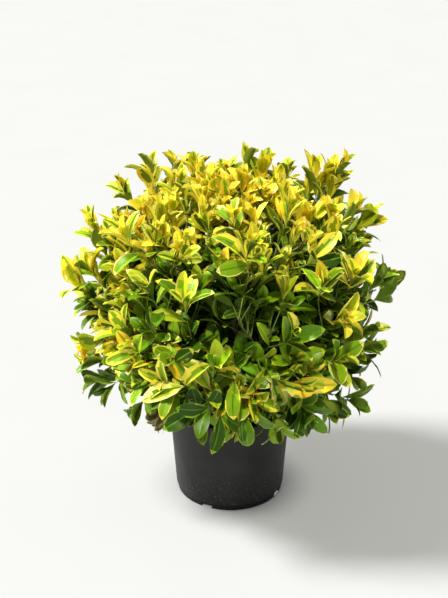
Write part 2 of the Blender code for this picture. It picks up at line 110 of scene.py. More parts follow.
TRUNK_HEIGHT = 0.078
TRUNK_LEAN = Vector((0.005, -0.003, 0.0))
TRUNK_SECTIONS = (
    (0.00, 0.0225),
    (0.10, 0.0181),
    (0.28, 0.0153),
    (0.55, 0.0145),
    (0.78, 0.0190),
    (0.92, 0.0163),
    (1.00, 0.0095),
)

SECTORS = 7
SECTOR = 360.0 / SECTORS
FIRST_SECTOR = -102.0
UPPER_MASSES = 5
RINGS = (
    ("crest", 1, 0.0, 90.0),
    ("upper", UPPER_MASSES, FIRST_SECTOR + 36.0, 52.0),
    ("middle", SECTORS, FIRST_SECTOR + SECTOR / 2, 14.0),
    ("skirt", SECTORS, FIRST_SECTOR, -26.0),
)
BOUGHS = {
    "crest": (0.86, 90.0, 0.0064, 0.0044, 0.0),
    "middle": (0.62, 38.0, 0.0068, 0.0042, 0.25),
    "skirt": (0.44, 24.0, 0.0050, 0.0036, 0.0),
}
UPPER_LIMB = (0.50, 0.0048, 0.0038, 0.20)
FORK_ALONG = 0.30
ENTRY_SHARE = 0.46
STEM_SHARE = 0.20
LIMB_BOW = 0.38

LEADERS = (
    (180.0, 67.0, 0.012),
    (184.0, 45.0, 0.010),
    (188.0, 20.0, 0.046),
    (180.0, 9.0, 0.024),
    (181.0, -6.0, 0.030),
    (187.0, -20.0, 0.044),
    (12.0, 57.0, 0.030),
    (0.0, 42.0, 0.012),
    (-5.0, 19.0, 0.056),
    (4.0, 7.0, 0.054),
    (-3.0, -9.0, 0.016),
    (-9.0, -27.0, 0.050),
    (-24.0, -36.0, 0.030),
    (-97.0, -42.0, 0.020),
    (-46.0, -43.0, 0.024),
    (-147.0, -39.0, 0.014),
)
SHOOTS_ALL_ROUND = 120
LOWEST_SHOOT = 0.262
SHOOT_SPACING = 0.55
SHOOT_PULL = 0.20
SHOOT_RISE = 0.55
SHOOT_DROOP = -0.25
SHOOT_SET_BACK = 0.074
TWIG_FIRST = 0.45
TWIG_LAST = 0.95
TWIG_RADIUS = 0.0028
TWIG_TIP_RADIUS = 0.0016
POT_MARGIN = 0.0040

# ---------------------------------------------------------------- sizes of the finer parts

LIMB_RINGS = 30
LIMB_SIDES = 18
LIMB_COLLAR = 0.45
COLLAR_LENGTH = 0.022
TRUNK_SIDES = 40
TRUNK_RINGS = 48
TRUNK_SEED = 3.7
LIMB_SEED = 11.3
BARK_DEPTH = 0.00055
BARK_DEPTH_SHARE = 0.035
BUD_RING_SPACING = 0.027
BUD_RING_WIDTH = 0.0016
TWIG_SPANS = 7
SPRIG_SPANS = 6
SPRIG_RADIUS = 0.0013
SPRIG_TIP_RADIUS = 0.0007
STEM_CARRY = 0.95

POT_STEPS = 144
SHARP_ANGLE = 34.0
COMPOST_RINGS = 40
COMPOST_SIDES = 96
# Crumbs lie on the compost where it is about level, and not against the pot's wall.
CRUMBS_PER_SQUARE_METRE = 26000.0
SMALLEST_CRUMB = 0.0009
LARGEST_CRUMB = 0.0026
CRUMB_SEED = 7
CRUMB_SHAPES = 5
CRUMB_SHAPE_SEED = 31
CRUMB_SLOPE = 0.6
CRUMB_MARGIN = 0.004

# Sprigs: the leafy ends of the twigs. The outer ones fill the crown's surface and the inner ones its inside.
SPRIG_SEED = 11
OUTER_SPRIGS = 390
INNER_SPRIGS = 210
CAP_SPRIGS = 400
CAP_HEIGHT = 0.60
SPRIG_LENGTH = 0.105
SPRIG_SET_BACK = 0.046
SPRIG_TURN = 13.0
SPRIG_LIFT = 1.15
SPRIG_FALL = -0.22
SPRIG_HANG = 0.90
# How high a direction points, from -1 to 1, where its lift starts upwards and its hang starts downwards, and
# over how much each grows to the full.
LIFT_FROM = -0.5
LIFT_OVER = 1.2
HANG_FROM = -0.2
HANG_OVER = 0.25
OUTER_REACH = (0.89, 1.00)
INNER_REACH = (0.56, 0.82)
CAP_REACH = (0.76, 0.98)
LOWEST_SPRIG = 0.232
# Tufts and hollows that break up the crown's outline.
TUFT_SCALE = 3.4
TUFT_DEPTH = 0.09
TUFT_LEVEL = 0.15
TUFT_PLACE = Vector((3.1, 0.0, 7.7))
# How unevenly the layers' sprigs are spread, and how their leaves vary in size and in sun. Leaves are at
# their largest below the height LARGE_BELOW, and at their smallest from SMALLER_OVER above it.
SPRIG_JITTER = 0.7
SPRIG_SIZES = (0.86, 1.08)
LOW_SPRIG_SIZE = 1.16
HIGH_SPRIG_SIZE = 0.92
LARGE_BELOW = 0.42
SMALLER_OVER = 0.28
SPRIG_SUN_SPREAD = 0.12
# A sprig's choice of its fork: the places on a twig, and the costs of bending, of turning off the twig and of
# standing too near.
FORK_SHARES = (0.2, 0.35, 0.5, 0.65, 0.8, 0.92, 1.0)
BEND_COST = 0.6
TURN_OFF_COST = 0.7
TOO_NEAR = 0.03
# Sprigs that stand out from the rest. Each row says where the tip comes in the camera's view, across and
# down, what the leaves look like, and how large they are.
# These stand at the crown's edge, where the line of sight passes nearest its centre.
EDGE_SPRIGS = (
    (151, 175, "golden", 1.10),
    (127, 193, "mixed", 1.00),
    (96, 229, "mixed", 1.10),
    (104, 249, "variegated", 1.05),
    (90, 270, "variegated", 1.10),
    (80, 287, "mixed", 1.50),
    (96, 300, "plain", 1.00),
    (99, 311, "plain", 1.15),
    (97, 342, "golden", 1.35),
    (97, 361, "variegated", 1.10),
    (99, 380, "plain", 1.05),
    (110, 388, "plain", 0.95),
    (133, 378, "plain", 0.95),
    (139, 408, "plain", 0.85),
    (161, 417, "dry", 0.78),
    (167, 421, "dry", 0.72),
    (349, 401, "edged", 1.10),
    (352, 378, "edged", 1.00),
    (362, 350, "edged", 1.20),
    (366, 331, "variegated", 1.00),
    (386, 291, "variegated", 1.20),
    (379, 280, "edged", 1.05),
    (356, 250, "variegated", 1.00),
    (332, 194, "variegated", 1.10),
    (338, 170, "golden", 0.95),
)
# These stand on the crown's near side, where the line of sight first comes this far in towards its centre.
NEAR_SPRIGS = (
    (126, 238, 0.92, "golden", 1.20),
    (134, 350, 0.94, "mixed", 1.15),
    (150, 294, 0.92, "edged", 1.15),
    (183, 304, 0.92, "edged", 1.20),
    (248, 252, 0.94, "mixed", 1.20),
    (311, 254, 0.94, "mixed", 1.20),
    (322, 285, 0.92, "variegated", 1.15),
    (352, 278, 0.92, "mixed", 1.25),
    (340, 320, 0.92, "golden", 1.20),
    (291, 338, 0.90, "edged", 1.20),
    (172, 362, 0.90, "variegated", 1.10),
    (335, 360, 0.94, "variegated", 1.25),
    (215, 370, 0.88, "edged", 1.15),
    (167, 386, 0.92, "mixed", 1.20),
    (183, 386, 0.94, "mixed", 1.45),
    (212, 390, 0.94, "variegated", 1.35),
    (234, 384, 0.94, "variegated", 1.25),
    (277, 382, 0.92, "mixed", 1.25),
    (295, 384, 0.94, "mixed", 1.35),
    (326, 406, 0.94, "edged", 1.10),
    (208, 412, 0.94, "plain", 1.10),
    (195, 415, 0.94, "plain", 1.20),
    (222, 420, 0.94, "plain", 1.15),
    (242, 418, 0.94, "plain", 1.20),
    (305, 412, 0.94, "plain", 1.20),
    (300, 418, 0.94, "plain", 0.90),
    (276, 424, 0.94, "edged", 1.10),
)
# These stand on its crest, this far behind the trunk.
CREST_SPRIGS = (
    (176, 172, 0.12, "golden", 1.00),
    (193, 171, 0.13, "golden", 1.00),
    (246, 166, 0.15, "golden", 1.05),
    (262, 172, 0.14, "golden", 1.10),
    (284, 182, 0.12, "mixed", 1.10),
    (312, 180, 0.06, "golden", 1.20),
    (327, 176, 0.08, "golden", 1.05),
    (350, 214, 0.00, "mixed", 1.10),
    (362, 222, 0.00, "mixed", 1.10),
)
# How sunny the leaves grow for each of these looks.
SUN_FOR = {"golden": 0.75, "mixed": 0.62, "variegated": 0.51, "edged": 0.36, "plain": 0.12, "dry": -2.0}
# The crown's own surface stands back round each of them by this share, within this many degrees.
LEADER_HOLLOW = 0.12
LEADER_SPREAD = 11.0
# Further hollows at the crown's edge: their place in the camera's view, across and down, their spread in
# degrees, and their depth as a share of the way from the hub.
HOLLOWS = (
    (125, 195, 12.0, 0.06),
    (300, 163, 8.0, 0.07),
    (370, 260, 8.0, 0.05),
    (375, 315, 9.0, 0.07),
    (138, 412, 13.0, 0.20),
)
# The waist: a band where the crown draws in at its front and its back, between its dome and its skirt.
# Its sprigs take the darker colours of deep ones, as painted shade in its recess.
WAIST_ELEVATION = 24.0
WAIST_SPREAD = 11.0
WAIST_DEPTH = 0.40
WAIST_TURN = 44.0
WAIST_CLIMB = 0.32
# Places on the crown's near side where leaves are dealt yellower or greener colours than their height gives,
# as
# painted light and painted shade: across and down in the camera's view, the spread in degrees, and how much.
PAINTED_LIGHT_AND_SHADE = (
    (165, 275, 14.0, -0.48),
    (80, 290, 14.0, 0.22),
    (84, 348, 13.0, 0.30),
    (145, 370, 9.0, 0.22),
    (295, 370, 9.0, 0.30),
    (175, 430, 9.0, -0.20),
)

# Leaf pairs along a sprig: distance behind its tip, opening, and size.
LEAF_PAIRS = (
    (0.001, 12.0, 0.60),
    (0.007, 25.0, 0.86),
    (0.018, 40.0, 1.00),
    (0.034, 54.0, 1.00),
    (0.055, 66.0, 0.94),
    (0.079, 74.0, 0.84),
)
LEAF_LENGTH = 0.069
# A leaf's thickness, breadth and stalk, as shares of its length.
LEAF_THICKNESS = 0.010
LEAF_BREADTH = 0.42
LEAF_STALK = 0.06
# The power that blunts a leaf's tip, and what its outline comes to at its broadest before it is scaled.
LEAF_BLUNTNESS = 0.78
LEAF_FULLEST = 0.2955
# How far the faces of leaves lean to the sky, and how far past the shrub's box their tips may stand.
LEAF_LEAN_TO_SKY = 0.34
LEAF_REACH_MARGIN = 0.004
# How far a sprig's leaves open, as factors: how it varies, at mid height or lower, and high up.
OPENING_VARIES = (0.82, 1.12)
OPENING_LOW = 1.12
OPENING_HIGH = 0.74
OPENING_HIGH_AT = 0.7
# How leaves vary, in degrees: round their sprig, in opening, with its limits, and in roll.
TURN_VARIES = 11.0
OPENING_STRAYS = 7.0
OPENING_LIMITS = (6.0, 96.0)
ROLL_VARIES = 13.0
LENGTH_VARIES = (0.90, 1.08)
BREADTH_VARIES = (0.88, 1.10)
# Past the last whole pair back from the tip, the chance that a leaf has fallen and its gain with each pair.
LAST_WHOLE_PAIR = 2
FALLEN = 0.10
FALLEN_BY_PAIR = 0.15

# How yellow leaves grow: a base, a gain over the crown's height, and a gain to the shrub's left. The gain
# with height starts at YELLOW_FROM, lower at the left and at the rear, and is full YELLOW_RISE above it.
# The gain at the left is partly leaves grown yellower in sun and partly painted light from the key light's
# side.
SUN_BASE = 0.31
SUN_WITH_HEIGHT = 0.62
SUN_AT_LEFT = 0.13
YELLOW_FROM = 0.525
YELLOW_RISE = 0.18
YELLOW_LOWER_AT_LEFT = 0.040
YELLOW_LOWER_AT_REAR = 0.045
# What leaves lose inside the crown, low down and high up, with each pair back from the tip, and at the skirt.
# Inside the crown and at the skirt, this loss is partly leaves grown greener in shade and partly painted
# shade.
SHADE_LOW = 0.50
SHADE_HIGH = 0.20
SHADE_BY_PAIR = 0.05
SKIRT_SHADE = 0.15
SKIRT_TOP = 0.30
SKIRT_FADE = 0.08
SUN_SPREAD = 0.07
SHADED_DEPTH = 0.9
SHADED_BELOW = 0.25
DRY_BELOW = -1.0
# The least sun for each look, the sunniest first. Leaves with less than all of these are shaded.
LEAST_SUN = (("golden", 0.66), ("variegated", 0.42), ("edged", 0.17), ("plain", -0.3))

# The camera: its place, how far it is tipped up from straight down, and its view and focal length in view
# units. A line of sight is searched for the crown between two distances from the camera.
CAMERA_PLACE = Vector((-0.0135, -2.317, 1.476))
CAMERA_TIP = 66.5
VIEW_WIDE = 448.0
VIEW_HIGH = 598.0
VIEW_FOCAL = 1150.0
SENSOR_WIDTH = 36.0
SIGHT_NEAR = 1.7
SIGHT_FAR = 3.2
SIGHT_STEPS = 1500

# ---------------------------------------------------------------- plain tools


def heading(azimuth, elevation):
    """A unit vector from two angles in degrees."""
    turn, rise = math.radians(azimuth), math.radians(elevation)
    level = math.cos(rise)
    return Vector((level * math.cos(turn), level * math.sin(turn), math.sin(rise)))


def azimuth_of(direction):
    return math.degrees(math.atan2(direction.y, direction.x))


def elevation_of(direction):
    return math.degrees(math.asin(max(-1.0, min(1.0, direction.z))))


def turn_between(a, b):
    return abs((a - b + 180.0) % 360.0 - 180.0)


def mix(a, b, share):
    return a + (b - a) * share


def clamp(value, low=0.0, high=1.0):
    return max(low, min(high, value))


def bezier(start, leave, arrive, end, share):
    """A point on a cubic curve from start to end, whose handles are leave and arrive."""
    back = 1.0 - share
    return (
        start * back**3
        + leave * (3 * back**2 * share)
        + arrive * (3 * back * share**2)
        + end * share**3
    )


def workshop_collection(name):
    made = bpy.data.collections.new(name)
    bpy.context.scene.collection.children.link(made)
    return made


def link(obj, collection=None):
    (collection or bpy.context.scene.collection).objects.link(obj)
    return obj


def mesh_object(name, bm, collection=None):
    mesh = bpy.data.meshes.new(name)
    bm.to_mesh(mesh)
    bm.free()
    return link(bpy.data.objects.new(name, mesh), collection)


def settle(obj):
    """Replaces an object's data by the plain mesh it shows, and drops its modifiers."""
    bpy.context.view_layer.update()
    graph = bpy.context.evaluated_depsgraph_get()
    mesh = bpy.data.meshes.new_from_object(obj.evaluated_get(graph))
    name = obj.name
    if obj.type == "MESH":
        obj.modifiers.clear()
        obj.data = mesh
        return obj
    bpy.data.objects.remove(obj)
    mesh.name = name
    return link(bpy.data.objects.new(name, mesh))


def finish_piece(obj, slot, *nodes):
    """Hands a finished piece to the frame: it rides with the shrub and stands for these nodes."""
    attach(obj, "root")
    if nodes:
        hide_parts(*nodes)
    return obj


# ---------------------------------------------------------------- finishes


def plain_finish(name, colour, roughness, gloss=0.20):
    """A finish of one even colour, for leaves and twigs that are dealt their colours one by one."""
    made = bpy.data.materials.new(name)
    made.use_nodes = True
    shader = made.node_tree.nodes["Principled BSDF"]
    shader.inputs["Base Color"].default_value = (*colour, 1.0)
    shader.inputs["Roughness"].default_value = roughness
    shader.inputs["Specular IOR Level"].default_value = gloss
    shader.inputs["Subsurface Weight"].default_value = 0.5
    shader.inputs["Subsurface Radius"].default_value = (1.0, 1.0, 0.35)
    shader.inputs["Subsurface Scale"].default_value = 0.0015
    return made


# Leaf colours, from the sunniest to the most shaded, each with its roughness and its gloss.
LEAF_FINISHES = {
    "butter yellow": ((0.950, 0.750, 0.050), 0.36, 0.38),
    "pale lemon": ((0.880, 0.820, 0.180), 0.40, 0.38),
    "egg yolk": ((0.900, 0.600, 0.020), 0.38, 0.30),
    "lime": ((0.480, 0.590, 0.018), 0.36, 0.34),
    "olive": ((0.300, 0.330, 0.008), 0.40, 0.20),
    "fresh green": ((0.225, 0.390, 0.008), 0.36, 0.24),
    "leaf green": ((0.100, 0.225, 0.005), 0.36, 0.22),
    "deep green": ((0.028, 0.074, 0.003), 0.45, 0.20),
    "pale underside": ((0.200, 0.270, 0.030), 0.60, 0.05),
    "gold underside": ((0.880, 0.715, 0.040), 0.60, 0.05),
    "green underside": ((0.085, 0.150, 0.014), 0.60, 0.05),
    "dry brown": ((0.165, 0.135, 0.070), 0.70, 0.10),
}
TINTS = list(LEAF_FINISHES)


class NodeTable:
    """Lays out nodes in a tree: makes each one, sets its values and joins it to what feeds it."""

    def __init__(self, tree):
        self.tree = tree

    def add(self, kind, settings=None, **feeds):
        node = self.tree.nodes.new(kind)
        for key, value in (settings or {}).items():
            setattr(node, key, value)
        for key, value in feeds.items():
            self.feed(node.inputs[key.replace("_", " ")], value)
        return node

    def feed(self, socket, value):
        if isinstance(value, bpy.types.NodeSocket):
            self.tree.links.new(value, socket)
        else:
            socket.default_value = value


def open_tree(name, kind, taken, returned):
    """(tree, table, what it is given, what it hands out) of a new node tree with these named sockets."""
    tree = bpy.data.node_groups.new(name, kind)
    for socket, sort, value in taken:
        made = tree.interface.new_socket(socket, in_out="INPUT", socket_type=f"NodeSocket{sort}")
        if value is not None:
            made.default_value = value
    for socket, sort in returned:
        tree.interface.new_socket(socket, in_out="OUTPUT", socket_type=f"NodeSocket{sort}")
    given = tree.nodes.new("NodeGroupInput").outputs
    handed = tree.nodes.new("NodeGroupOutput").inputs
    return tree, NodeTable(tree), given, handed


def grain_group():
    """A node group of two noises: a broad one that shades a surface, and a fine one for its grain."""
    tree, table, given, handed = open_tree(
        "Surface grain",
        "ShaderNodeTree",
        (
            ("Vector", "Vector", None),
            ("Broad scale", "Float", 20.0),
            ("Fine scale", "Float", 400.0),
            ("Contrast", "Float", 0.5),
        ),
        (("Shade", "Float"), ("Grain", "Float")),
    )
    broad = table.add("ShaderNodeTexNoise", Vector=given["Vector"], Scale=given["Broad scale"], Detail=4.0)
    fine = table.add("ShaderNodeTexNoise", Vector=given["Vector"], Scale=given["Fine scale"], Detail=3.0)
    centred = table.add("ShaderNodeMath", {"operation": "SUBTRACT"})
    table.feed(centred.inputs[0], broad.outputs["Fac"])
    table.feed(centred.inputs[1], 0.5)
    spread = table.add("ShaderNodeMath", {"operation": "MULTIPLY_ADD", "use_clamp": True})
    table.feed(spread.inputs[0], centred.outputs[0])
    table.feed(spread.inputs[1], given["Contrast"])
    table.feed(spread.inputs[2], 0.5)
    table.feed(handed["Shade"], spread.outputs[0])
    table.feed(handed["Grain"], fine.outputs["Fac"])
    return tree


def ranged(table, value, low, high, to_low=0.0, to_high=1.0):
    """The value stretched so that low becomes to_low and high becomes to_high, and no further."""
    node = table.add("ShaderNodeMapRange", Value=value)
    for key, number in zip(("From Min", "From Max", "To Min", "To Max"), (low, high, to_low, to_high)):
        node.inputs[key].default_value = number
    return node.outputs[0]


def worked_finish(name, grain, broad, fine, contrast, stretch=(1.0, 1.0, 1.0)):
    """(material, table, grain node, shader) of a finish whose colour and grain follow its place."""
    made = bpy.data.materials.new(name)
    made.use_nodes = True
    table = NodeTable(made.node_tree)
    place = table.add("ShaderNodeTexCoord").outputs["Object"]
    drawn = table.add("ShaderNodeMapping", Vector=place, Scale=stretch).outputs["Vector"]
    node = table.add("ShaderNodeGroup", {"node_tree": grain}, Vector=drawn)
    node.inputs["Broad scale"].default_value = broad
    node.inputs["Fine scale"].default_value = fine
    node.inputs["Contrast"].default_value = contrast
    return made, table, node, made.node_tree.nodes["Principled BSDF"]


def colour_ramp(table, fac, stops):
    ramp = table.add("ShaderNodeValToRGB", Fac=fac)
    elements = ramp.color_ramp.elements
    while len(elements) < len(stops):
        elements.new(0.5)
    for element, (position, colour) in zip(elements, stops):
        element.position = position
        element.color = (*colour, 1.0)
    return ramp.outputs["Color"]


def blend_colours(table, share, a, b):
    blend = table.add("ShaderNodeMix", {"data_type": "RGBA"})
    table.feed(blend.inputs[0], share)
    table.feed(blend.inputs[6], a if isinstance(a, bpy.types.NodeSocket) else (*a, 1.0))
    table.feed(blend.inputs[7], b if isinstance(b, bpy.types.NodeSocket) else (*b, 1.0))
    return blend.outputs[2]


def relief(table, shader, height, strength, distance):
    bump = table.add("ShaderNodeBump", Height=height, Strength=strength, Distance=distance)
    table.feed(shader.inputs["Normal"], bump.outputs["Normal"])


def moulded_pot_finish(grain):
    """Charcoal moulded plastic, dusty and darker towards its foot, scuffed down its wall, with painted shade
    on the foot band.
    """
    made, table, node, shader = worked_finish("moulded pot plastic", grain, 14.0, 900.0, 2.4)
    base = colour_ramp(
        table,
        node.outputs["Shade"],
        ((0.15, (0.013, 0.014, 0.012)), (0.55, (0.020, 0.021, 0.018)), (0.9, (0.030, 0.030, 0.026))),
    )
    place = table.add("ShaderNodeTexCoord").outputs["Object"]
    streaks = table.add("ShaderNodeMapping", Vector=place, Scale=(85.0, 85.0, 5.0)).outputs["Vector"]
    scuff = table.add("ShaderNodeTexNoise", Vector=streaks, Scale=1.0, Detail=3.0, Roughness=0.6)
    scuffed = ranged(table, scuff.outputs["Fac"], 0.60, 0.78, 0.0, 0.35)
    base = blend_colours(table, scuffed, base, (0.058, 0.058, 0.050))
    # Specks of dried compost, thickest just above the foot.
    speck = table.add("ShaderNodeTexNoise", Vector=place, Scale=260.0, Detail=2.0)
    speckled = ranged(table, speck.outputs["Fac"], 0.60, 0.68)
    height = table.add("ShaderNodeSeparateXYZ", Vector=place).outputs["Z"]
    dusty = table.add("ShaderNodeMath", {"operation": "MULTIPLY"})
    table.feed(dusty.inputs[0], speckled)
    table.feed(dusty.inputs[1], ranged(table, height, POT_HEIGHT / 2, 0.012, 0.04, 0.85))
    # Darker towards the bottom, from half height down.
    darker_below = ranged(table, height, POT_HEIGHT / 2, 0.015, 0.0, 0.70)
    base = blend_colours(table, darker_below, base, (0.008, 0.010, 0.009))
    base = blend_colours(table, dusty.outputs[0], base, (0.110, 0.092, 0.068))
    # Painted shade: the recessed foot band below the step is painted near black.
    foot = ranged(table, height, FOOT_HEIGHT + 0.001, FOOT_HEIGHT - 0.002)
    base = blend_colours(table, foot, base, (0.007, 0.009, 0.010))
    table.feed(shader.inputs["Base Color"], base)
    table.feed(shader.inputs["Roughness"], ranged(table, node.outputs["Shade"], 0.0, 1.0, 0.44, 0.60))
    shader.inputs["Specular IOR Level"].default_value = 0.28
    relief(table, shader, node.outputs["Grain"], 0.25, 0.0004)
    return made


def peat_finish(grain):
    """Damp peaty compost."""
    made, table, node, shader = worked_finish("peaty compost", grain, 90.0, 520.0, 2.2)
    base = colour_ramp(
        table,
        node.outputs["Shade"],
        ((0.1, (0.016, 0.010, 0.007)), (0.5, (0.045, 0.027, 0.017)), (0.9, (0.095, 0.060, 0.036))),
    )
    table.feed(shader.inputs["Base Color"], base)
    shader.inputs["Roughness"].default_value = 0.93
    relief(table, shader, node.outputs["Grain"], 0.8, 0.0015)
    return made


def bark_finish(grain):
    """Grey-brown bark with corky streaks along the limbs and a green cast."""
    made, table, node, shader = worked_finish(
        "spindle bark", grain, 60.0, 420.0, 1.9, stretch=(1.0, 1.0, 0.45)
    )
    base = colour_ramp(
        table,
        node.outputs["Shade"],
        ((0.1, (0.075, 0.060, 0.036)), (0.5, (0.150, 0.130, 0.078)), (0.9, (0.235, 0.210, 0.135))),
    )
    table.feed(shader.inputs["Base Color"], base)
    table.feed(shader.inputs["Roughness"], ranged(table, node.outputs["Shade"], 0.0, 1.0, 0.90, 0.74))
    relief(table, shader, node.outputs["Grain"], 0.6, 0.0008)
    return made


# ---------------------------------------------------------------- pot and compost


def wall_radius(height):
    """The outer radius of the pot's tapered wall."""
    return mix(POT_BASE_RADIUS, POT_TOP_RADIUS, height / (POT_HEIGHT - RIM_DEPTH))


def rounded_profile(corners, steps=4):
    """Points down a turned profile whose corners, given as (radius, height, rounding), are rounded off."""
    points = []
    for k, (radius, height, rounding) in enumerate(corners):
        corner = Vector((radius, height))
        if not rounding or k in (0, len(corners) - 1):
            points.append(corner)
            continue
        before = Vector(corners[k - 1][:2])
        after = Vector(corners[k + 1][:2])
        a = corner + (before - corner).normalized() * rounding
        b = corner + (after - corner).normalized() * rounding
        for j in range(steps + 1):
            share = j / steps
            points.append(mix(mix(a, corner, share), mix(corner, b, share), share))
    return points


def turned(name, profile, steps):
    """A solid turned about the pot's axis from a profile that runs down its outer side."""
    bm = bmesh.new()
    points = [bm.verts.new((radius, 0.0, height)) for radius, height in profile]
    for a, b in zip(points, points[1:]):
        bm.edges.new((a, b))
    obj = mesh_object(name, bm)
    screw = obj.modifiers.new("Turn", "SCREW")
    screw.steps = steps
    screw.render_steps = steps
    screw.use_merge_vertices = True
    screw.merge_threshold = MERGE
    return obj


def drain_slot_cutters():
    """Round-cornered blocks that cut the drain slots through the pot's foot."""
    bm = bmesh.new()
    for k in range(DRAIN_SLOTS):
        block = bmesh.ops.create_cube(bm, size=1.0)["verts"]
        size = (2 * DRAIN_SLOT_DEPTH, DRAIN_SLOT_WIDTH, 2 * DRAIN_SLOT_HEIGHT)
        bmesh.ops.scale(bm, vec=size, verts=block)
        outwards = heading(DRAIN_SLOT_AZIMUTH + 360.0 * k / DRAIN_SLOTS, 0.0)
        bmesh.ops.rotate(bm, matrix=outwards.to_track_quat("X", "Z").to_matrix(), verts=block)
        bmesh.ops.translate(bm, vec=outwards * POT_BASE_RADIUS, verts=block)
    cutters = mesh_object("drain slot cutters", bm)
    rounding = cutters.modifiers.new("Rounded", "BEVEL")
    rounding.width = 0.0025
    rounding.segments = 3
    return settle(cutters)


def make_pot(finish):
    foot = POT_BASE_RADIUS - FOOT_INSET
    under_rim = POT_HEIGHT - RIM_DEPTH
    corners = (
        (0.0, POT_FLOOR, 0.0),
        (foot - POT_WALL, POT_FLOOR, 0.0015),
        (wall_radius(FOOT_HEIGHT) - POT_WALL, FOOT_HEIGHT, 0.0010),
        (wall_radius(under_rim) - POT_WALL, under_rim, 0.0008),
        (POT_TOP_RADIUS - POT_WALL + 0.0006, POT_HEIGHT, 0.0012),
        (POT_RIM_RADIUS, POT_HEIGHT, 0.0012),
        (POT_RIM_RADIUS - 0.0004, under_rim, 0.0009),
        (wall_radius(under_rim), under_rim, 0.0006),
        (wall_radius(FOOT_HEIGHT), FOOT_HEIGHT + 0.0006, 0.0007),
        (foot + 0.0004, FOOT_HEIGHT - 0.0014, 0.0006),
        (foot, 0.0, 0.0008),
        (foot - 0.0035, 0.0, 0.0006),
        (foot - 0.0045, 0.0016, 0.0006),
        (0.0, 0.0016, 0.0),
    )
    pot = turned("moulded_pot", rounded_profile(corners), POT_STEPS)
    slots = drain_slot_cutters()
    cut = pot.modifiers.new("Drain slots", "BOOLEAN")
    cut.operation = "DIFFERENCE"
    cut.object = slots
    settle(pot)
    bpy.data.objects.remove(slots)
    pot.data.materials.clear()
    pot.data.materials.append(finish)
    pot.data.shade_smooth()
    pot.data.set_sharp_from_angle(angle=math.radians(SHARP_ANGLE))
    return finish_piece(pot, "pot", "pot")


def crumb_shapes(collection):
    """A few angular crumbs of bark and peat, drawn long and flat."""
    rng = random.Random(CRUMB_SHAPE_SEED)
    for k in range(CRUMB_SHAPES):
        bm = bmesh.new()
        bmesh.ops.create_icosphere(bm, subdivisions=1, radius=1.0)
        for vert in bm.verts:
            vert.co *= rng.uniform(0.72, 1.15)
            vert.co.x *= 1.7
            vert.co.z *= 0.55
        mesh_object(f"crumb {k}", bm, collection)


def scatter_tree(name):
    """Geometry nodes that scatter shapes of a collection over a surface."""
    tree, table, given, handed = open_tree(
        name,
        "GeometryNodeTree",
        (
            ("Geometry", "Geometry", None),
            ("Shapes", "Collection", None),
            ("Density", "Float", 1000.0),
            ("Smallest", "Float", 0.001),
            ("Largest", "Float", 0.003),
            ("Seed", "Int", 3),
            ("Finish", "Material", None),
        ),
        (("Geometry", "Geometry"),),
    )
    spread = table.add(
        "GeometryNodeDistributePointsOnFaces",
        Mesh=given["Geometry"],
        Density=given["Density"],
        Seed=given["Seed"],
    )
    shapes = table.add(
        "GeometryNodeCollectionInfo", Collection=given["Shapes"], Separate_Children=True, Reset_Children=True
    )
    turn = table.add("FunctionNodeRandomValue", {"data_type": "FLOAT_VECTOR"})
    turn.inputs["Min"].default_value = (-0.5, -0.5, 0.0)
    turn.inputs["Max"].default_value = (0.5, 0.5, math.tau)
    size = table.add("FunctionNodeRandomValue", {"data_type": "FLOAT"})
    table.feed(size.inputs[2], given["Smallest"])
    table.feed(size.inputs[3], given["Largest"])
    placed = table.add("GeometryNodeInstanceOnPoints", Points=spread.outputs["Points"])
    table.feed(placed.inputs["Instance"], shapes.outputs[0])
    table.feed(placed.inputs["Pick Instance"], True)
    table.feed(placed.inputs["Rotation"], turn.outputs["Value"])
    table.feed(placed.inputs["Scale"], size.outputs[1])
    real = table.add("GeometryNodeRealizeInstances", Geometry=placed.outputs["Instances"])
    dressed = table.add("GeometryNodeSetMaterial", Geometry=real.outputs[0], Material=given["Finish"])
    table.feed(handed["Geometry"], dressed.outputs["Geometry"])
    return tree


def run_tree(obj, tree, values):
    """Runs a node tree on an object with these named inputs, and keeps the plain mesh it makes."""
    modifier = obj.modifiers.new(tree.name, "NODES")
    modifier.node_group = tree
    for item in tree.interface.items_tree:
        if item.item_type == "SOCKET" and item.in_out == "INPUT" and item.name in values:
            modifier[item.identifier] = values[item.name]
    return settle(obj)


def compost_height(x, y):
    """The compost's uneven top."""
    across = math.hypot(x, y)
    edge = wall_radius(COMPOST_TOP - COMPOST_FALL)
    fall = clamp((across - COMPOST_FLAT_RADIUS) / (edge - COMPOST_FLAT_RADIUS)) * COMPOST_FALL
    rough = noise.fractal(Vector((x, y, 0.3)) * 45.0, 1.0, 2.0, 4) * 0.0022
    return COMPOST_TOP - fall + rough


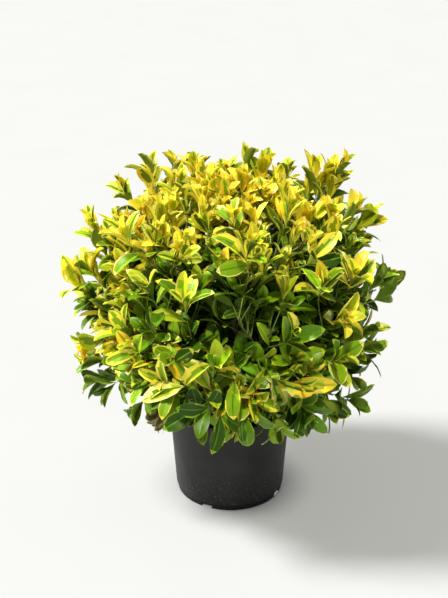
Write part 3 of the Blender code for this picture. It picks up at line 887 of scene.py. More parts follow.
def make_compost(finish):
    """The compost: its rough top, a skirt down inside the pot, and crumbs lying on it."""
    edge = wall_radius(COMPOST_TOP - COMPOST_FALL) - POT_WALL - GAP
    foot = POT_BASE_RADIUS - FOOT_INSET - POT_WALL - GAP
    rings = [(edge * share, None) for share in np.linspace(1.0, 0.0, COMPOST_RINGS)[:-1]]
    sides = COMPOST_SIDES
    bm = bmesh.new()
    loops = []
    for radius, height in [(foot, POT_FLOOR + GAP)] + rings:
        loop = []
        for k in range(sides):
            turn = math.tau * k / sides
            x, y = radius * math.cos(turn), radius * math.sin(turn)
            z = height if height is not None else compost_height(x, y)
            loop.append(bm.verts.new((x, y, z)))
        loops.append(loop)
    for low, high in zip(loops, loops[1:]):
        for k in range(sides):
            bm.faces.new((low[k], low[(k + 1) % sides], high[(k + 1) % sides], high[k]))
    crown = bm.verts.new((0.0, 0.0, compost_height(0.0, 0.0)))
    for k in range(sides):
        bm.faces.new((loops[-1][k], loops[-1][(k + 1) % sides], crown))
    bm.faces.new(list(reversed(loops[0])))
    compost = mesh_object("compost_bed", bm)
    compost.data.materials.append(finish)
    compost.data.shade_smooth()
    crumbs = workshop_collection("crumb shapes")
    crumb_shapes(crumbs)
    top = bmesh.new()
    top.from_mesh(compost.data)
    bare = [
        face
        for face in top.faces
        if face.normal.z < CRUMB_SLOPE or face.calc_center_median().xy.length > edge - CRUMB_MARGIN
    ]
    bmesh.ops.delete(top, geom=bare, context="FACES")
    scattered = mesh_object("compost_crumbs", top)
    values = {
        "Shapes": crumbs,
        "Density": CRUMBS_PER_SQUARE_METRE,
        "Smallest": SMALLEST_CRUMB,
        "Largest": LARGEST_CRUMB,
        "Seed": CRUMB_SEED,
        "Finish": finish,
    }
    scattered = run_tree(scattered, scatter_tree("Scatter crumbs"), values)
    remove_workshop(crumbs)
    finish_piece(compost, "compost", "compost")
    finish_piece(scattered, "compost", "compost")


def remove_workshop(collection):
    for obj in list(collection.objects):
        bpy.data.objects.remove(obj)
    bpy.data.collections.remove(collection)


# ---------------------------------------------------------------- the crown's shape


def crown_level(point):
    """How far out a point is, from 0 at the crown's centre to 1 on its surface."""
    offset = point - CROWN_CENTRE
    height = CROWN_RISE if offset.z > 0 else CROWN_DROP
    across = offset.xy.length / CROWN_RADIUS
    return (across**CROWN_SQUARENESS + (abs(offset.z) / height) ** CROWN_SQUARENESS) ** (1 / CROWN_SQUARENESS)


def outside_crown(point):
    return crown_level(point) > 1


def reach_from(start, direction):
    """How far the crown's surface is from a point inside it along a direction."""
    near, far = 0.0, 2 * CROWN_RADIUS
    for _ in range(REACH_HALVINGS):
        middle = (near + far) / 2
        if outside_crown(start + direction * middle):
            far = middle
        else:
            near = middle
    return near


def crown_reach(direction):
    return reach_from(HUB, direction)


def in_crown(direction, share):
    """The point at this share of the way from the hub to the crown's surface."""
    return HUB + direction * (crown_reach(direction) * share)


def masses():
    """(name, direction from the hub) of every mass of foliage, ring by ring."""
    made = []
    for ring, count, first, elevation in RINGS:
        for k in range(count):
            direction = heading(first + 360.0 * k / count, elevation)
            made.append((ring if count == 1 else f"{ring}_{k + 1}", direction))
    return made


def spread_directions(count):
    """Directions spread evenly over a sphere, on a golden-angle spiral."""
    golden = 180.0 * (3.0 - math.sqrt(5.0))
    for k in range(count):
        elevation = math.degrees(math.asin(1.0 - (2 * k + 1) / count))
        yield heading(golden * k, elevation)


# ---------------------------------------------------------------- stem, boughs and limbs


class Limb:
    """The line of one tapering limb: its points and the radius at each."""

    def __init__(self, name, points, radii):
        self.name, self.points, self.radii = name, points, radii

    def at(self, share):
        """The point at this share of the limb's spans."""
        place = share * (len(self.points) - 1)
        k = min(int(place), len(self.points) - 2)
        return mix(self.points[k], self.points[k + 1], place - k)

    def arrives(self):
        return (self.points[-1] - self.points[-2]).normalized()

    def before_tip(self, back):
        """(point, direction) this far before the limb's tip, or None where the limb is shorter."""
        for a, b in zip(self.points[-2::-1], self.points[::-1]):
            span = (b - a).length
            if back <= span:
                return mix(b, a, back / span), (b - a).normalized()
            back -= span
        return None


def smooth_sections(sections, count):
    """Even sections of (share, radius) along a smooth curve through the given ones."""
    shares = [share for share, _ in sections]
    radii = [radius for _, radius in sections]
    made = []
    for k in range(count + 1):
        share = k / count
        j = max(0, min(len(shares) - 2, sum(1 for s in shares if s <= share) - 1))
        local = (share - shares[j]) / (shares[j + 1] - shares[j])
        eased = local * local * (3 - 2 * local)
        made.append((share, mix(radii[j], radii[j + 1], mix(local, eased, 0.6))))
    return made


def trunk_line():
    """The short stem, flared at the compost and swollen into a knuckle where the boughs part."""
    foot = Vector((0.0, 0.0, COMPOST_TOP + GAP))
    sections = smooth_sections(TRUNK_SECTIONS, TRUNK_RINGS)
    points = [
        foot + UPWARDS * (TRUNK_HEIGHT * share) + TRUNK_LEAN * share**2 for share, _ in sections
    ]
    return Limb("trunk", points, [radius for _, radius in sections])


def arching_limb(name, start, leaving, end, arriving, thick, thin, spans=LIMB_RINGS):
    """A limb that leaves start along one heading and arrives at end along another."""
    bow = (end - start).length * LIMB_BOW
    shares = [k / spans for k in range(spans + 1)]
    points = [
        bezier(start, start + leaving * bow, end - arriving * bow, end, share)
        for share in shares
    ]
    return Limb(name, points, [mix(thick, thin, share) for share in shares])


def trunk_point(share):
    return Vector((0.0, 0.0, COMPOST_TOP + GAP)) + UPWARDS * (TRUNK_HEIGHT * share) + TRUNK_LEAN * share**2


def bough_line(ring, name, direction):
    """A bough from the stem to the mass of this name."""
    fork, rise, thick, thin, lift = BOUGHS[ring]
    leaving = heading(azimuth_of(direction), rise)
    arriving = mix(direction, UPWARDS, lift).normalized()
    end = in_crown(direction, ENTRY_SHARE)
    return arching_limb(f"bough_{name}", trunk_point(fork), leaving, end, arriving, thick, thin)


def upper_limb_line(parent, name, direction):
    """A side limb from the middle of a bough to the mass of this name above it."""
    fork, thick, thin, lift = UPPER_LIMB
    start, end = parent.at(fork), in_crown(direction, ENTRY_SHARE)
    leaving = mix((end - start).normalized(), parent.arrives(), FORK_ALONG).normalized()
    arriving = mix(direction, UPWARDS, lift).normalized()
    return arching_limb(f"limb_{name}", start, leaving, end, arriving, thick, thin)


def limb_lines():
    """{mass: line of the limb that carries it}."""
    lines, carriers, upper = {}, {}, []
    for name, direction in masses():
        ring = name.split("_")[0]
        if ring not in BOUGHS:
            upper.append((name, direction))
            continue
        lines[name] = bough_line(ring, name, direction)
        if ring == "middle":
            carriers[azimuth_of(direction)] = lines[name]
    for name, direction in upper:
        turn = azimuth_of(direction)
        parent = carriers.pop(min(carriers, key=lambda other: turn_between(other, turn)))
        lines[name] = upper_limb_line(parent, name, direction)
    return lines


def bark_relief(turn, along, radius, seed):
    """How far the bark stands out, in metres, at a turn round the limb and a distance along it."""
    around = Vector((math.cos(turn), math.sin(turn), 0.0))
    ridges = noise.noise(around * 2.6 + Vector((0.0, 0.0, along * 55.0 + seed)))
    cracks = noise.noise(around * 6.5 + Vector((seed, 0.0, along * 130.0)))
    lump = noise.noise(around * 0.8 + Vector((0.0, seed, along * 22.0)))
    past_ring = (along + seed * 0.01) % BUD_RING_SPACING - BUD_RING_SPACING / 2
    ring = math.exp(-((past_ring / BUD_RING_WIDTH) ** 2))
    depth = BARK_DEPTH + radius * BARK_DEPTH_SHARE
    return (ridges * 0.9 - abs(cracks) * 0.8 + lump * 1.3 + ring * 0.8) * depth


def add_barked_limb(bm, line, sides, seed, collar):
    """Sweeps one limb's rings into a mesh, with bark relief and a collar where it leaves its parent."""
    rings, along = [], 0.0
    side = line.arrives().orthogonal().normalized()
    count = len(line.points)
    for k, (point, radius) in enumerate(zip(line.points, line.radii)):
        ahead = (line.points[min(k + 1, count - 1)] - line.points[max(k - 1, 0)]).normalized()
        side = (side - ahead * side.dot(ahead)).normalized()
        other = ahead.cross(side)
        if k:
            along += (point - line.points[k - 1]).length
        swollen = radius * (1.0 + collar * math.exp(-((along / COLLAR_LENGTH) ** 2)))
        ring = []
        for j in range(sides):
            turn = math.tau * j / sides
            out = side * math.cos(turn) + other * math.sin(turn)
            ring.append(bm.verts.new(point + out * (swollen + bark_relief(turn, along, radius, seed))))
        rings.append(ring)
    for low, high in zip(rings, rings[1:]):
        for j in range(sides):
            bm.faces.new((low[j], low[(j + 1) % sides], high[(j + 1) % sides], high[j]))
    bm.faces.new(list(reversed(rings[0])))
    bm.faces.new(rings[-1])


def make_limbs(lines, finish):
    """The barked stem and all its boughs and limbs, as one piece."""
    bm = bmesh.new()
    add_barked_limb(bm, trunk_line(), TRUNK_SIDES, TRUNK_SEED, 0.0)
    for k, line in enumerate(lines.values()):
        add_barked_limb(bm, line, LIMB_SIDES, LIMB_SEED * (k + 1), LIMB_COLLAR)
    limbs = mesh_object("barked_limbs", bm)
    limbs.data.materials.append(finish)
    limbs.data.shade_smooth()
    return finish_piece(limbs, "bark", "trunk", *(line.name for line in lines.values()))


# ---------------------------------------------------------------- twigs and sprigs


def shoot_heading(direction):
    """How a shoot points at its tip: outwards, and higher up the shrub also upwards."""
    lift = mix(SHOOT_DROOP, SHOOT_RISE, (direction.z + 0.5) / 1.5)
    return (direction + UPWARDS * lift).normalized()


def shoots():
    """(direction from the hub, how far it leads) of every main shoot's tip."""
    made = [(heading(azimuth, elevation), lead) for azimuth, elevation, lead in LEADERS]
    apart = math.cos(math.sqrt(4 * math.pi / SHOOTS_ALL_ROUND) * SHOOT_SPACING)
    for from_centre in spread_directions(SHOOTS_ALL_ROUND):
        surface = CROWN_CENTRE + from_centre * reach_from(CROWN_CENTRE, from_centre)
        direction = (surface - HUB).normalized()
        crowded = any(direction.dot(leader) > apart for leader, _ in made[: len(LEADERS)])
        if surface.z > LOWEST_SHOOT and not crowded:
            made.append((direction, 0.0))
    return made


def tapering(name, points, thick, thin):
    spans = len(points) - 1
    return Limb(name, points, [mix(thick, thin, k / spans) for k in range(spans + 1)])


def stem_line(name, direction, limb):
    """The short stem that carries a mass straight on from its limb's tip, then bends into its middle."""
    arriving = limb.arrives()
    start = limb.points[-1] - arriving * 0.002
    end = in_crown(direction, ENTRY_SHARE + STEM_SHARE)
    third = (end - start).length / 3
    onward = start + arriving * third
    bend = mix(onward + arriving * third, end, 0.5)
    points = [bezier(start, onward, bend, end, k / TWIG_SPANS) for k in range(TWIG_SPANS + 1)]
    return tapering(name, points, limb.radii[-1] * STEM_CARRY, TWIG_RADIUS)


def twig_line(mass_direction, stem, direction, lead):
    """A twig from a mass's stem to the tip of one shoot."""
    drawn_in = mix(direction, mass_direction, 0.0 if lead else SHOOT_PULL).normalized()
    ahead = shoot_heading(drawn_in)
    surface = HUB + drawn_in * (crown_reach(drawn_in) + lead)
    tip = surface - mix(drawn_in, ahead, 0.5).normalized() * SHOOT_SET_BACK
    in_line = max(0.0, 1.0 - 4.0 * (1.0 - direction.dot(mass_direction)))
    root = stem.at(mix(TWIG_FIRST, TWIG_LAST, in_line))
    bow = (tip - root).length * LIMB_BOW
    points = [
        bezier(root, mix(root, tip, LIMB_BOW), tip - ahead * bow, tip, k / TWIG_SPANS)
        for k in range(TWIG_SPANS + 1)
    ]
    return tapering("twig", points, TWIG_RADIUS, TWIG_TIP_RADIUS)


def waist(direction):
    """How far the crown draws in at this direction, from 0 to 1: most at the front and back of its waist."""
    azimuth = azimuth_of(direction)
    climb = WAIST_CLIMB * clamp(-90.0 - azimuth, 0.0, 45.0)
    off = (elevation_of(direction) - WAIST_ELEVATION - climb) / WAIST_SPREAD
    turn = min(turn_between(azimuth, -90.0), turn_between(azimuth, 90.0)) / WAIST_TURN
    return math.exp(-(off**2) - turn**2)


def nearness(direction, other, spread):
    """1 where two directions are the same, fading to nothing past the spread in degrees."""
    apart = math.degrees(math.acos(clamp(direction.dot(other), -1.0, 1.0)))
    return math.exp(-((apart / spread) ** 2))


def sum_near(direction, places):
    return sum(amount * nearness(direction, other, spread) for other, spread, amount in places)


def line_of_sight(across, down):
    """The way from the camera through this place of its view."""
    sight = Vector((across - VIEW_WIDE / 2, VIEW_HIGH / 2 - down, -VIEW_FOCAL)) / VIEW_FOCAL
    sight.rotate(Euler((math.radians(CAMERA_TIP), 0.0, 0.0)))
    return sight


def tip_at_level(across, down, level):
    """The first point of a line of sight that is this far in, or else the one nearest the crown's centre."""
    sight = line_of_sight(across, down)
    steps = [mix(SIGHT_NEAR, SIGHT_FAR, k / SIGHT_STEPS) for k in range(SIGHT_STEPS + 1)]
    points = [CAMERA_PLACE + sight * step for step in steps]
    levels = [crown_level(point) for point in points]
    within = [k for k, found in enumerate(levels) if found < level]
    return points[within[0] if within else levels.index(min(levels))]


def tip_behind(across, down, behind):
    """The point of a line of sight that is this far behind the trunk."""
    sight = line_of_sight(across, down)
    return CAMERA_PLACE + sight * ((behind - CAMERA_PLACE.y) / sight.y)


def leading_sprigs():
    """(direction and reach from the hub, sun, size) of every sprig that stands out from the rest."""
    tips = [(tip_at_level(across, down, 0.0), look, size) for across, down, look, size in EDGE_SPRIGS]
    tips += [(tip_at_level(*place), look, size) for *place, look, size in NEAR_SPRIGS]
    tips += [(tip_behind(*place), look, size) for *place, look, size in CREST_SPRIGS]
    made = []
    for tip, look, size in tips:
        sun = SUN_FOR[look] - sunniness(tip, 0.0, 0)
        made.append(((tip - HUB).normalized(), (tip - HUB).length, sun, size))
    return made


def seen_places(rows, level):
    """(direction from the hub, spread, amount) of every row, from its place in the camera's view."""
    return [
        ((tip_at_level(across, down, level) - HUB).normalized(), spread, amount)
        for across, down, spread, amount in rows
    ]


def hollow(direction, leading, hollows):
    """How far the crown stands back at this direction, round its leading sprigs and in its hollows."""
    led = max(nearness(direction, other, LEADER_SPREAD) for other, _, _, _ in leading)
    return LEADER_HOLLOW * led + sum_near(direction, hollows)


def sprig_heading(direction, rng):
    """How a sprig points: outwards, upright towards the top of the shrub and hanging towards its skirt."""
    share = clamp((direction.z - LIFT_FROM) / LIFT_OVER)
    lift = mix(SPRIG_FALL, SPRIG_LIFT, share * share * (3 - 2 * share))
    lift -= SPRIG_HANG * clamp((HANG_FROM - direction.z) / HANG_OVER)
    ahead = (direction + UPWARDS * lift).normalized()
    aside = ahead.orthogonal().normalized()
    aside.rotate(Quaternion(ahead, rng.uniform(0.0, math.tau)))
    ahead.rotate(Quaternion(aside, math.radians(rng.gauss(0.0, SPRIG_TURN))))
    return ahead


class Sprig:
    """One leafy shoot: its line, its mass, its direction, how deep it stands, its sun and its size."""

    def __init__(self, line, mass, direction, depth, sun, size):
        self.line, self.mass, self.direction = line, mass, direction
        self.depth, self.sun, self.size = depth, sun, size


def clear_of_pot(point):
    beside = point.xy.length > POT_RIM_RADIUS + POT_MARGIN
    return beside or point.z > POT_HEIGHT + POT_MARGIN


def sprig_places(rng):
    """(direction and reach from the hub, set-back, depth, sun, size) of every sprig of the crown."""
    made, leading = [], leading_sprigs()
    hollows, painted_light_and_shade = seen_places(HOLLOWS, 0.0), seen_places(PAINTED_LIGHT_AND_SHADE, 1.0)
    layers = (
        (OUTER_SPRIGS, OUTER_REACH, 0.0, 0.0),
        (INNER_SPRIGS, INNER_REACH, 1.0, 0.0),
        (CAP_SPRIGS, CAP_REACH, 0.2, CAP_HEIGHT),
    )
    for count, (least, most), depth, lowest in layers:
        for from_centre in spread_directions(count):
            strewn = Vector((rng.gauss(0, 1), rng.gauss(0, 1), rng.gauss(0, 1)))
            jitter = strewn * (SPRIG_JITTER / math.sqrt(count))
            from_centre = (from_centre + jitter).normalized()
            surface = CROWN_CENTRE + from_centre * reach_from(CROWN_CENTRE, from_centre)
            direction = (surface - HUB).normalized()
            tufts = noise.noise(direction * TUFT_SCALE + TUFT_PLACE)
            drawn = (1.0 - WAIST_DEPTH * waist(direction)) * (1.0 + TUFT_DEPTH * (tufts - TUFT_LEVEL))
            drawn *= 1.0 - hollow(direction, leading, hollows)
            reach = (surface - HUB).length * rng.uniform(least, most) * drawn
            height = (HUB + direction * reach).z
            if height > max(lowest, LOWEST_SPRIG):
                smaller = clamp((height - LARGE_BELOW) / SMALLER_OVER)
                size = rng.uniform(*SPRIG_SIZES) * mix(LOW_SPRIG_SIZE, HIGH_SPRIG_SIZE, smaller)
                # Painted shade: sprigs in the waist are coloured like deep ones.
                depth_with_waist_shade = max(depth, waist(direction))
                # Painted light and shade: the listed places make leaves there yellower or greener.
                sun = rng.gauss(0.0, SPRIG_SUN_SPREAD) + sum_near(direction, painted_light_and_shade)
                made.append((direction, reach, SPRIG_SET_BACK, depth_with_waist_shade, sun, size))
    for direction, reach, sun, size in leading:
        made.append((direction, reach, 0.0, 0.0, sun, size))
    return made


def sprig_from(root, tip, ahead):
    bow = (tip - root).length * LIMB_BOW
    leave = mix(root, tip, LIMB_BOW) - ahead * (bow * 0.15)
    points = [
        bezier(root, leave, tip - ahead * bow, tip, k / SPRIG_SPANS) for k in range(SPRIG_SPANS + 1)
    ]
    return tapering("sprig", points, SPRIG_RADIUS, SPRIG_TIP_RADIUS)


class Branching:
    """The places on the twigs where sprigs can fork off, so that each finds the handiest one."""

    def __init__(self, twigs):
        self.masses, places, along = [], [], []
        for mass, twig in twigs:
            for share in FORK_SHARES:
                self.masses.append(mass)
                places.append(twig.at(share))
                along.append(twig.arrives())
        self.places, self.along = np.array(places), np.array(along)

    def fork_for(self, tip, ahead):
        """(mass, point) of the fork whose way to the tip is about a sprig long and bends least."""
        way = np.array(tip) - self.places
        far = np.linalg.norm(way, axis=1)
        way = way / np.maximum(far, 1e-6)[:, None]
        turn_off = 1.0 - (way * self.along).sum(axis=1)
        bend = 1.0 - way @ np.array(ahead) + TURN_OFF_COST * turn_off
        cost = np.abs(far - SPRIG_LENGTH) / SPRIG_LENGTH + BEND_COST * bend + (far < TOO_NEAR)
        best = int(np.argmin(cost))
        return self.masses[best], Vector(self.places[best])


def make_sprigs(twigs, rng):
    """Every sprig of the crown, forking off the twigs."""
    branching = Branching(twigs)
    made = []
    for direction, reach, set_back, depth, sun, size in sprig_places(rng):
        ahead = sprig_heading(direction, rng)
        tip = HUB + direction * reach - mix(direction, ahead, 0.5).normalized() * set_back
        if not clear_of_pot(tip):
            continue
        mass, root = branching.fork_for(tip, ahead)
        made.append(Sprig(sprig_from(root, tip, ahead), mass, direction, depth, sun, size))
    return made


def twig_curve(name, lines, finishes):
    """A curve object of many tapering lines, each with its own finish, bevelled to four sides."""
    data = bpy.data.curves.new(name, "CURVE")
    data.dimensions = "3D"
    data.bevel_depth = 1.0
    data.bevel_resolution = 0
    data.use_fill_caps = True
    for finish in finishes:
        data.materials.append(finish)
    for line, finish in lines:
        spline = data.splines.new("POLY")
        spline.points.add(len(line.points) - 1)
        spline.material_index = finish
        spline.use_smooth = True
        for knot, point, radius in zip(spline.points, line.points, line.radii):
            knot.co = (*point, 1.0)
            knot.radius = radius
    return link(bpy.data.objects.new(name, data))


# ---------------------------------------------------------------- leaves

# What a face of a leaf is. The first four are on its upper side.
ZONES = ("margin", "middle", "between", "midrib", "under_margin", "under_middle")
MARGIN, MIDDLE, BETWEEN, MIDRIB, UNDER_MARGIN, UNDER_MIDDLE = range(len(ZONES))
LEAF_ROWS = (0.12, 0.31, 0.52, 0.73, 0.90)
PATTERN_SEED = 23
BROAD_PATTERNS = 16
THIN_PATTERNS = 12
# How leaves vary in shape, in degrees or as shares of their size: fold along the midrib, roll and wave of the
# blade, lift and arch of the midrib, and sideways bend.
BROAD_FOLD = (12.0, 42.0)
THIN_FOLD = (8.0, 26.0)
BLADE_ROLL = (-0.28, 0.22)
BLADE_WAVE = (0.03, 0.13)
MIDRIB_LIFT = (6.0, 20.0)
MIDRIB_ARCH = (18.0, 74.0)
SIDEWAYS_BEND = (-0.05, 0.05)
RAGGED_EDGE = (-0.07, 0.07)
# Where the inner and the outer line of a leaf's colours run, as shares of its half width.
BROAD_INNER = (0.20, 0.46)
BROAD_OUTER = (0.52, 0.80)
THIN_INNER = 0.085
THIN_OUTER = (0.80, 0.90)
# How far those lines wander from row to row, and the limits that they keep.
BROAD_WANDER = 0.15
THIN_WANDER = 0.02
THIN_INNER_WANDER = 0.3
NEAR_LINE = (0.05, 0.62)
FARTHEST_LINE = 0.93
LINES_APART = 0.12
UNDER_HALF = (0.38, 0.62)
# How much of a thin margin shows, and how often colours stray out of their zones.
EDGED_SHARES = (0.15, 0.6, 1.0)
STRAY_CHANCE = 0.06
BETWEEN_SHARES = (0.62, 0.22, 0.16)
SPILL_CHANCE = 0.22
# The waves along a blade's edge, in radians from its root to its tip, and the shift between its two sides.
RIPPLES = 5.5
RIPPLE_SHIFT = 1.7
NARROWEST = 0.05


def half_width(share):
    """The half width of a leaf of unit length: an oval, broadest past its middle and blunt at its tip."""
    blade = clamp((share - LEAF_STALK) / (1.0 - LEAF_STALK))
    return LEAF_BREADTH / 2 * blade * (1.0 - blade) ** LEAF_BLUNTNESS / LEAF_FULLEST


def midrib_points(lift, bend):
    """Points of the midrib at the leaf's root, its rows and its tip, arching back by bend degrees in all."""
    shares = (0.0, *LEAF_ROWS, 1.0)
    points, directions, place = [], [], Vector((0.0, 0.0))
    last = 0.0
    for share in shares:
        middle = (last + share) / 2
        turn = math.radians(lift - bend * middle**1.3)
        place = place + Vector((math.cos(turn), math.sin(turn))) * (share - last)
        here = math.radians(lift - bend * share**1.3)
        points.append(place.copy())
        directions.append(here)
        last = share
    return points, directions


class LeafShape:
    """The form of one leaf pattern of unit length along +Y, and where its colours run, drawn at random."""

    def __init__(self, rng, broad):
        self.broad = broad
        self.fold = math.radians(rng.uniform(*(BROAD_FOLD if broad else THIN_FOLD)))
        self.roll = rng.uniform(*BLADE_ROLL)
        self.wave = rng.uniform(*BLADE_WAVE)
        self.phase = rng.uniform(0.0, math.tau)
        self.ribs, self.turns = midrib_points(rng.uniform(*MIDRIB_LIFT), rng.uniform(*MIDRIB_ARCH))
        self.bend = rng.uniform(*SIDEWAYS_BEND)
        self.inner = rng.uniform(*BROAD_INNER) if broad else THIN_INNER
        self.outer = rng.uniform(*(BROAD_OUTER if broad else THIN_OUTER))
        self.edged = (rng.choice(EDGED_SHARES), rng.choice(EDGED_SHARES))
        ends = len(LEAF_ROWS) + 2
        self.ragged = [(rng.uniform(*RAGGED_EDGE), rng.uniform(*RAGGED_EDGE)) for _ in range(ends)]

    def corner(self, k, across, drop):
        """A point of row k at this share of the half width, dropped below the upper face."""
        share = (0.0, *LEAF_ROWS, 1.0)[k]
        side = abs(across)
        width = half_width(share) * (1.0 + self.ragged[k][0 if across < 0 else 1] * side**3)
        x = across * width * math.cos(self.fold) + self.bend * share**2
        ripple = math.sin(RIPPLES * share + self.phase + (RIPPLE_SHIFT if across > 0 else 0.0))
        lift = side * math.sin(self.fold) + self.roll * side**2
        lift += self.wave / max(width, NARROWEST) * side**2 * ripple * width
        normal = Vector((0.0, -math.sin(self.turns[k]), math.cos(self.turns[k])))
        base = Vector((x, self.ribs[k].x, self.ribs[k].y))
        return base + normal * (width * lift - drop)

    def row_shares(self, rng):
        """Shares of the half width across a row: its edges, two lines of colour each side, and its midrib."""
        wander = BROAD_WANDER if self.broad else THIN_WANDER
        lines = []
        for _ in range(2):
            drawn = rng.uniform(-wander, wander) * (1.0 if self.broad else THIN_INNER_WANDER)
            near = clamp(self.inner + drawn, *NEAR_LINE)
            far = clamp(self.outer + rng.uniform(-wander, wander), near + LINES_APART, FARTHEST_LINE)
            lines.append((near, far))
        (near_left, far_left), (near_right, far_right) = lines
        return -1.0, -far_left, -near_left, 0.0, near_right, far_right, 1.0

    def band_zone(self, j, rng):
        """The zone of band j of a row: 0 and 5 are the edges."""
        band = min(j, 5 - j)
        if not self.broad:
            edge = MARGIN if self.edged[j > 2] > rng.random() else MIDDLE
            return (edge, MIDDLE, MIDRIB)[band]
        if band == 2 and rng.random() < STRAY_CHANCE:
            return BETWEEN
        if band == 1:
            return rng.choices((BETWEEN, MARGIN, MIDDLE), BETWEEN_SHARES)[0]
        return (MARGIN, BETWEEN, MIDDLE)[band]


def leaf_pattern(name, rng, broad, collection):
    """One leaf of unit length along +Y, folded, arched and waved, with its faces marked by zone."""
    shape = LeafShape(rng, broad)
    rows = len(LEAF_ROWS)
    bm = bmesh.new()
    zone = bm.faces.layers.int.new("zone")
    tops, unders = [], []
    for k in range(1, rows + 1):
        tops.append([bm.verts.new(shape.corner(k, share, 0.0)) for share in shape.row_shares(rng)])
        half = rng.uniform(*UNDER_HALF) if broad else 0.5
        low = [bm.verts.new(shape.corner(k, share, LEAF_THICKNESS)) for share in (-half, 0.0, half)]
        unders.append([tops[-1][0], *low, tops[-1][-1]])
    root = bm.verts.new((0.0, 0.0, -LEAF_THICKNESS / 2))
    tip = bm.verts.new(shape.corner(rows + 1, 0.0, LEAF_THICKNESS / 2))

    def face(corners, kind):
        made = bm.faces.new(corners)
        made[zone] = kind
        made.smooth = True

    for j in range(6):
        thin_tip = MARGIN if min(j, 5 - j) < 2 else MIDDLE
        face((root, tops[0][j + 1], tops[0][j]), shape.band_zone(j, rng) if broad else MIDDLE)
        face((tip, tops[-1][j], tops[-1][j + 1]), shape.band_zone(j, rng) if broad else thin_tip)
        for low, high in zip(tops, tops[1:]):
            face((low[j], low[j + 1], high[j + 1], high[j]), shape.band_zone(j, rng))
    for j in range(4):
        kind = UNDER_MARGIN if j in (0, 3) else UNDER_MIDDLE
        face((root, unders[0][j], unders[0][j + 1]), kind)
        face((tip, unders[-1][j + 1], unders[-1][j]), UNDER_MARGIN)
        for low, high in zip(unders, unders[1:]):
            spill = broad and rng.random() < SPILL_CHANCE
            face((low[j + 1], low[j], high[j], high[j + 1]), UNDER_MARGIN if spill else kind)
    for edge in bm.edges:
        kinds = {made[zone] >= UNDER_MARGIN for made in edge.link_faces}
        edge.smooth = len(kinds) == 1
    return mesh_object(name, bm, collection)


def leaf_patterns(collection):
    """The leaf patterns: broad-margined ones first, then thin-margined ones."""
    rng = random.Random(PATTERN_SEED)
    for k in range(BROAD_PATTERNS + THIN_PATTERNS):
        leaf_pattern(f"pattern {k:02d}", rng, k < BROAD_PATTERNS, collection)


def leafing_tree(finishes):
    """Geometry nodes that set a leaf on each point by its own pattern, turn, size and tints."""
    tree, table, given, handed = open_tree(
        "Leafing",
        "GeometryNodeTree",
        (
            ("Geometry", "Geometry", None),
            ("Leaf patterns", "Collection", None),
            ("Leaf length", "Float", LEAF_LENGTH),
        ),
        (("Geometry", "Geometry"),),
    )

    def stored(name, kind):
        node = table.add("GeometryNodeInputNamedAttribute", {"data_type": kind})
        node.inputs["Name"].default_value = name
        return node.outputs["Attribute"]

    shapes = table.add(
        "GeometryNodeCollectionInfo",
        Collection=given["Leaf patterns"],
        Separate_Children=True,
        Reset_Children=True,
    )
    turn = table.add("FunctionNodeEulerToRotation")
    table.feed(turn.inputs[0], stored("turn", "FLOAT_VECTOR"))
    size = table.add("ShaderNodeVectorMath", {"operation": "SCALE"})
    table.feed(size.inputs[0], stored("size", "FLOAT_VECTOR"))
    table.feed(size.inputs["Scale"], given["Leaf length"])
    placed = table.add("GeometryNodeInstanceOnPoints", Points=given["Geometry"])
    table.feed(placed.inputs["Instance"], shapes.outputs[0])
    table.feed(placed.inputs["Pick Instance"], True)
    table.feed(placed.inputs["Instance Index"], stored("pattern", "INT"))
    table.feed(placed.inputs["Rotation"], turn.outputs[0])
    table.feed(placed.inputs["Scale"], size.outputs[0])
    made = table.add("GeometryNodeRealizeInstances", Geometry=placed.outputs["Instances"]).outputs[0]
    tint = table.add("GeometryNodeIndexSwitch", {"data_type": "INT"})
    tint.index_switch_items.clear()
    for _ in ZONES:
        tint.index_switch_items.new()
    table.feed(tint.inputs["Index"], stored("zone", "INT"))
    for k, name in enumerate(ZONES):
        table.feed(tint.inputs[k + 1], stored(name, "INT"))
    for k, finish in enumerate(finishes):
        same = table.add("FunctionNodeCompare", {"data_type": "INT", "operation": "EQUAL"})
        table.feed(same.inputs[2], tint.outputs[0])
        table.feed(same.inputs[3], k)
        made = table.add(
            "GeometryNodeSetMaterial", Geometry=made, Selection=same.outputs[0], Material=finish
        ).outputs[0]
    table.feed(handed["Geometry"], made)
    return tree


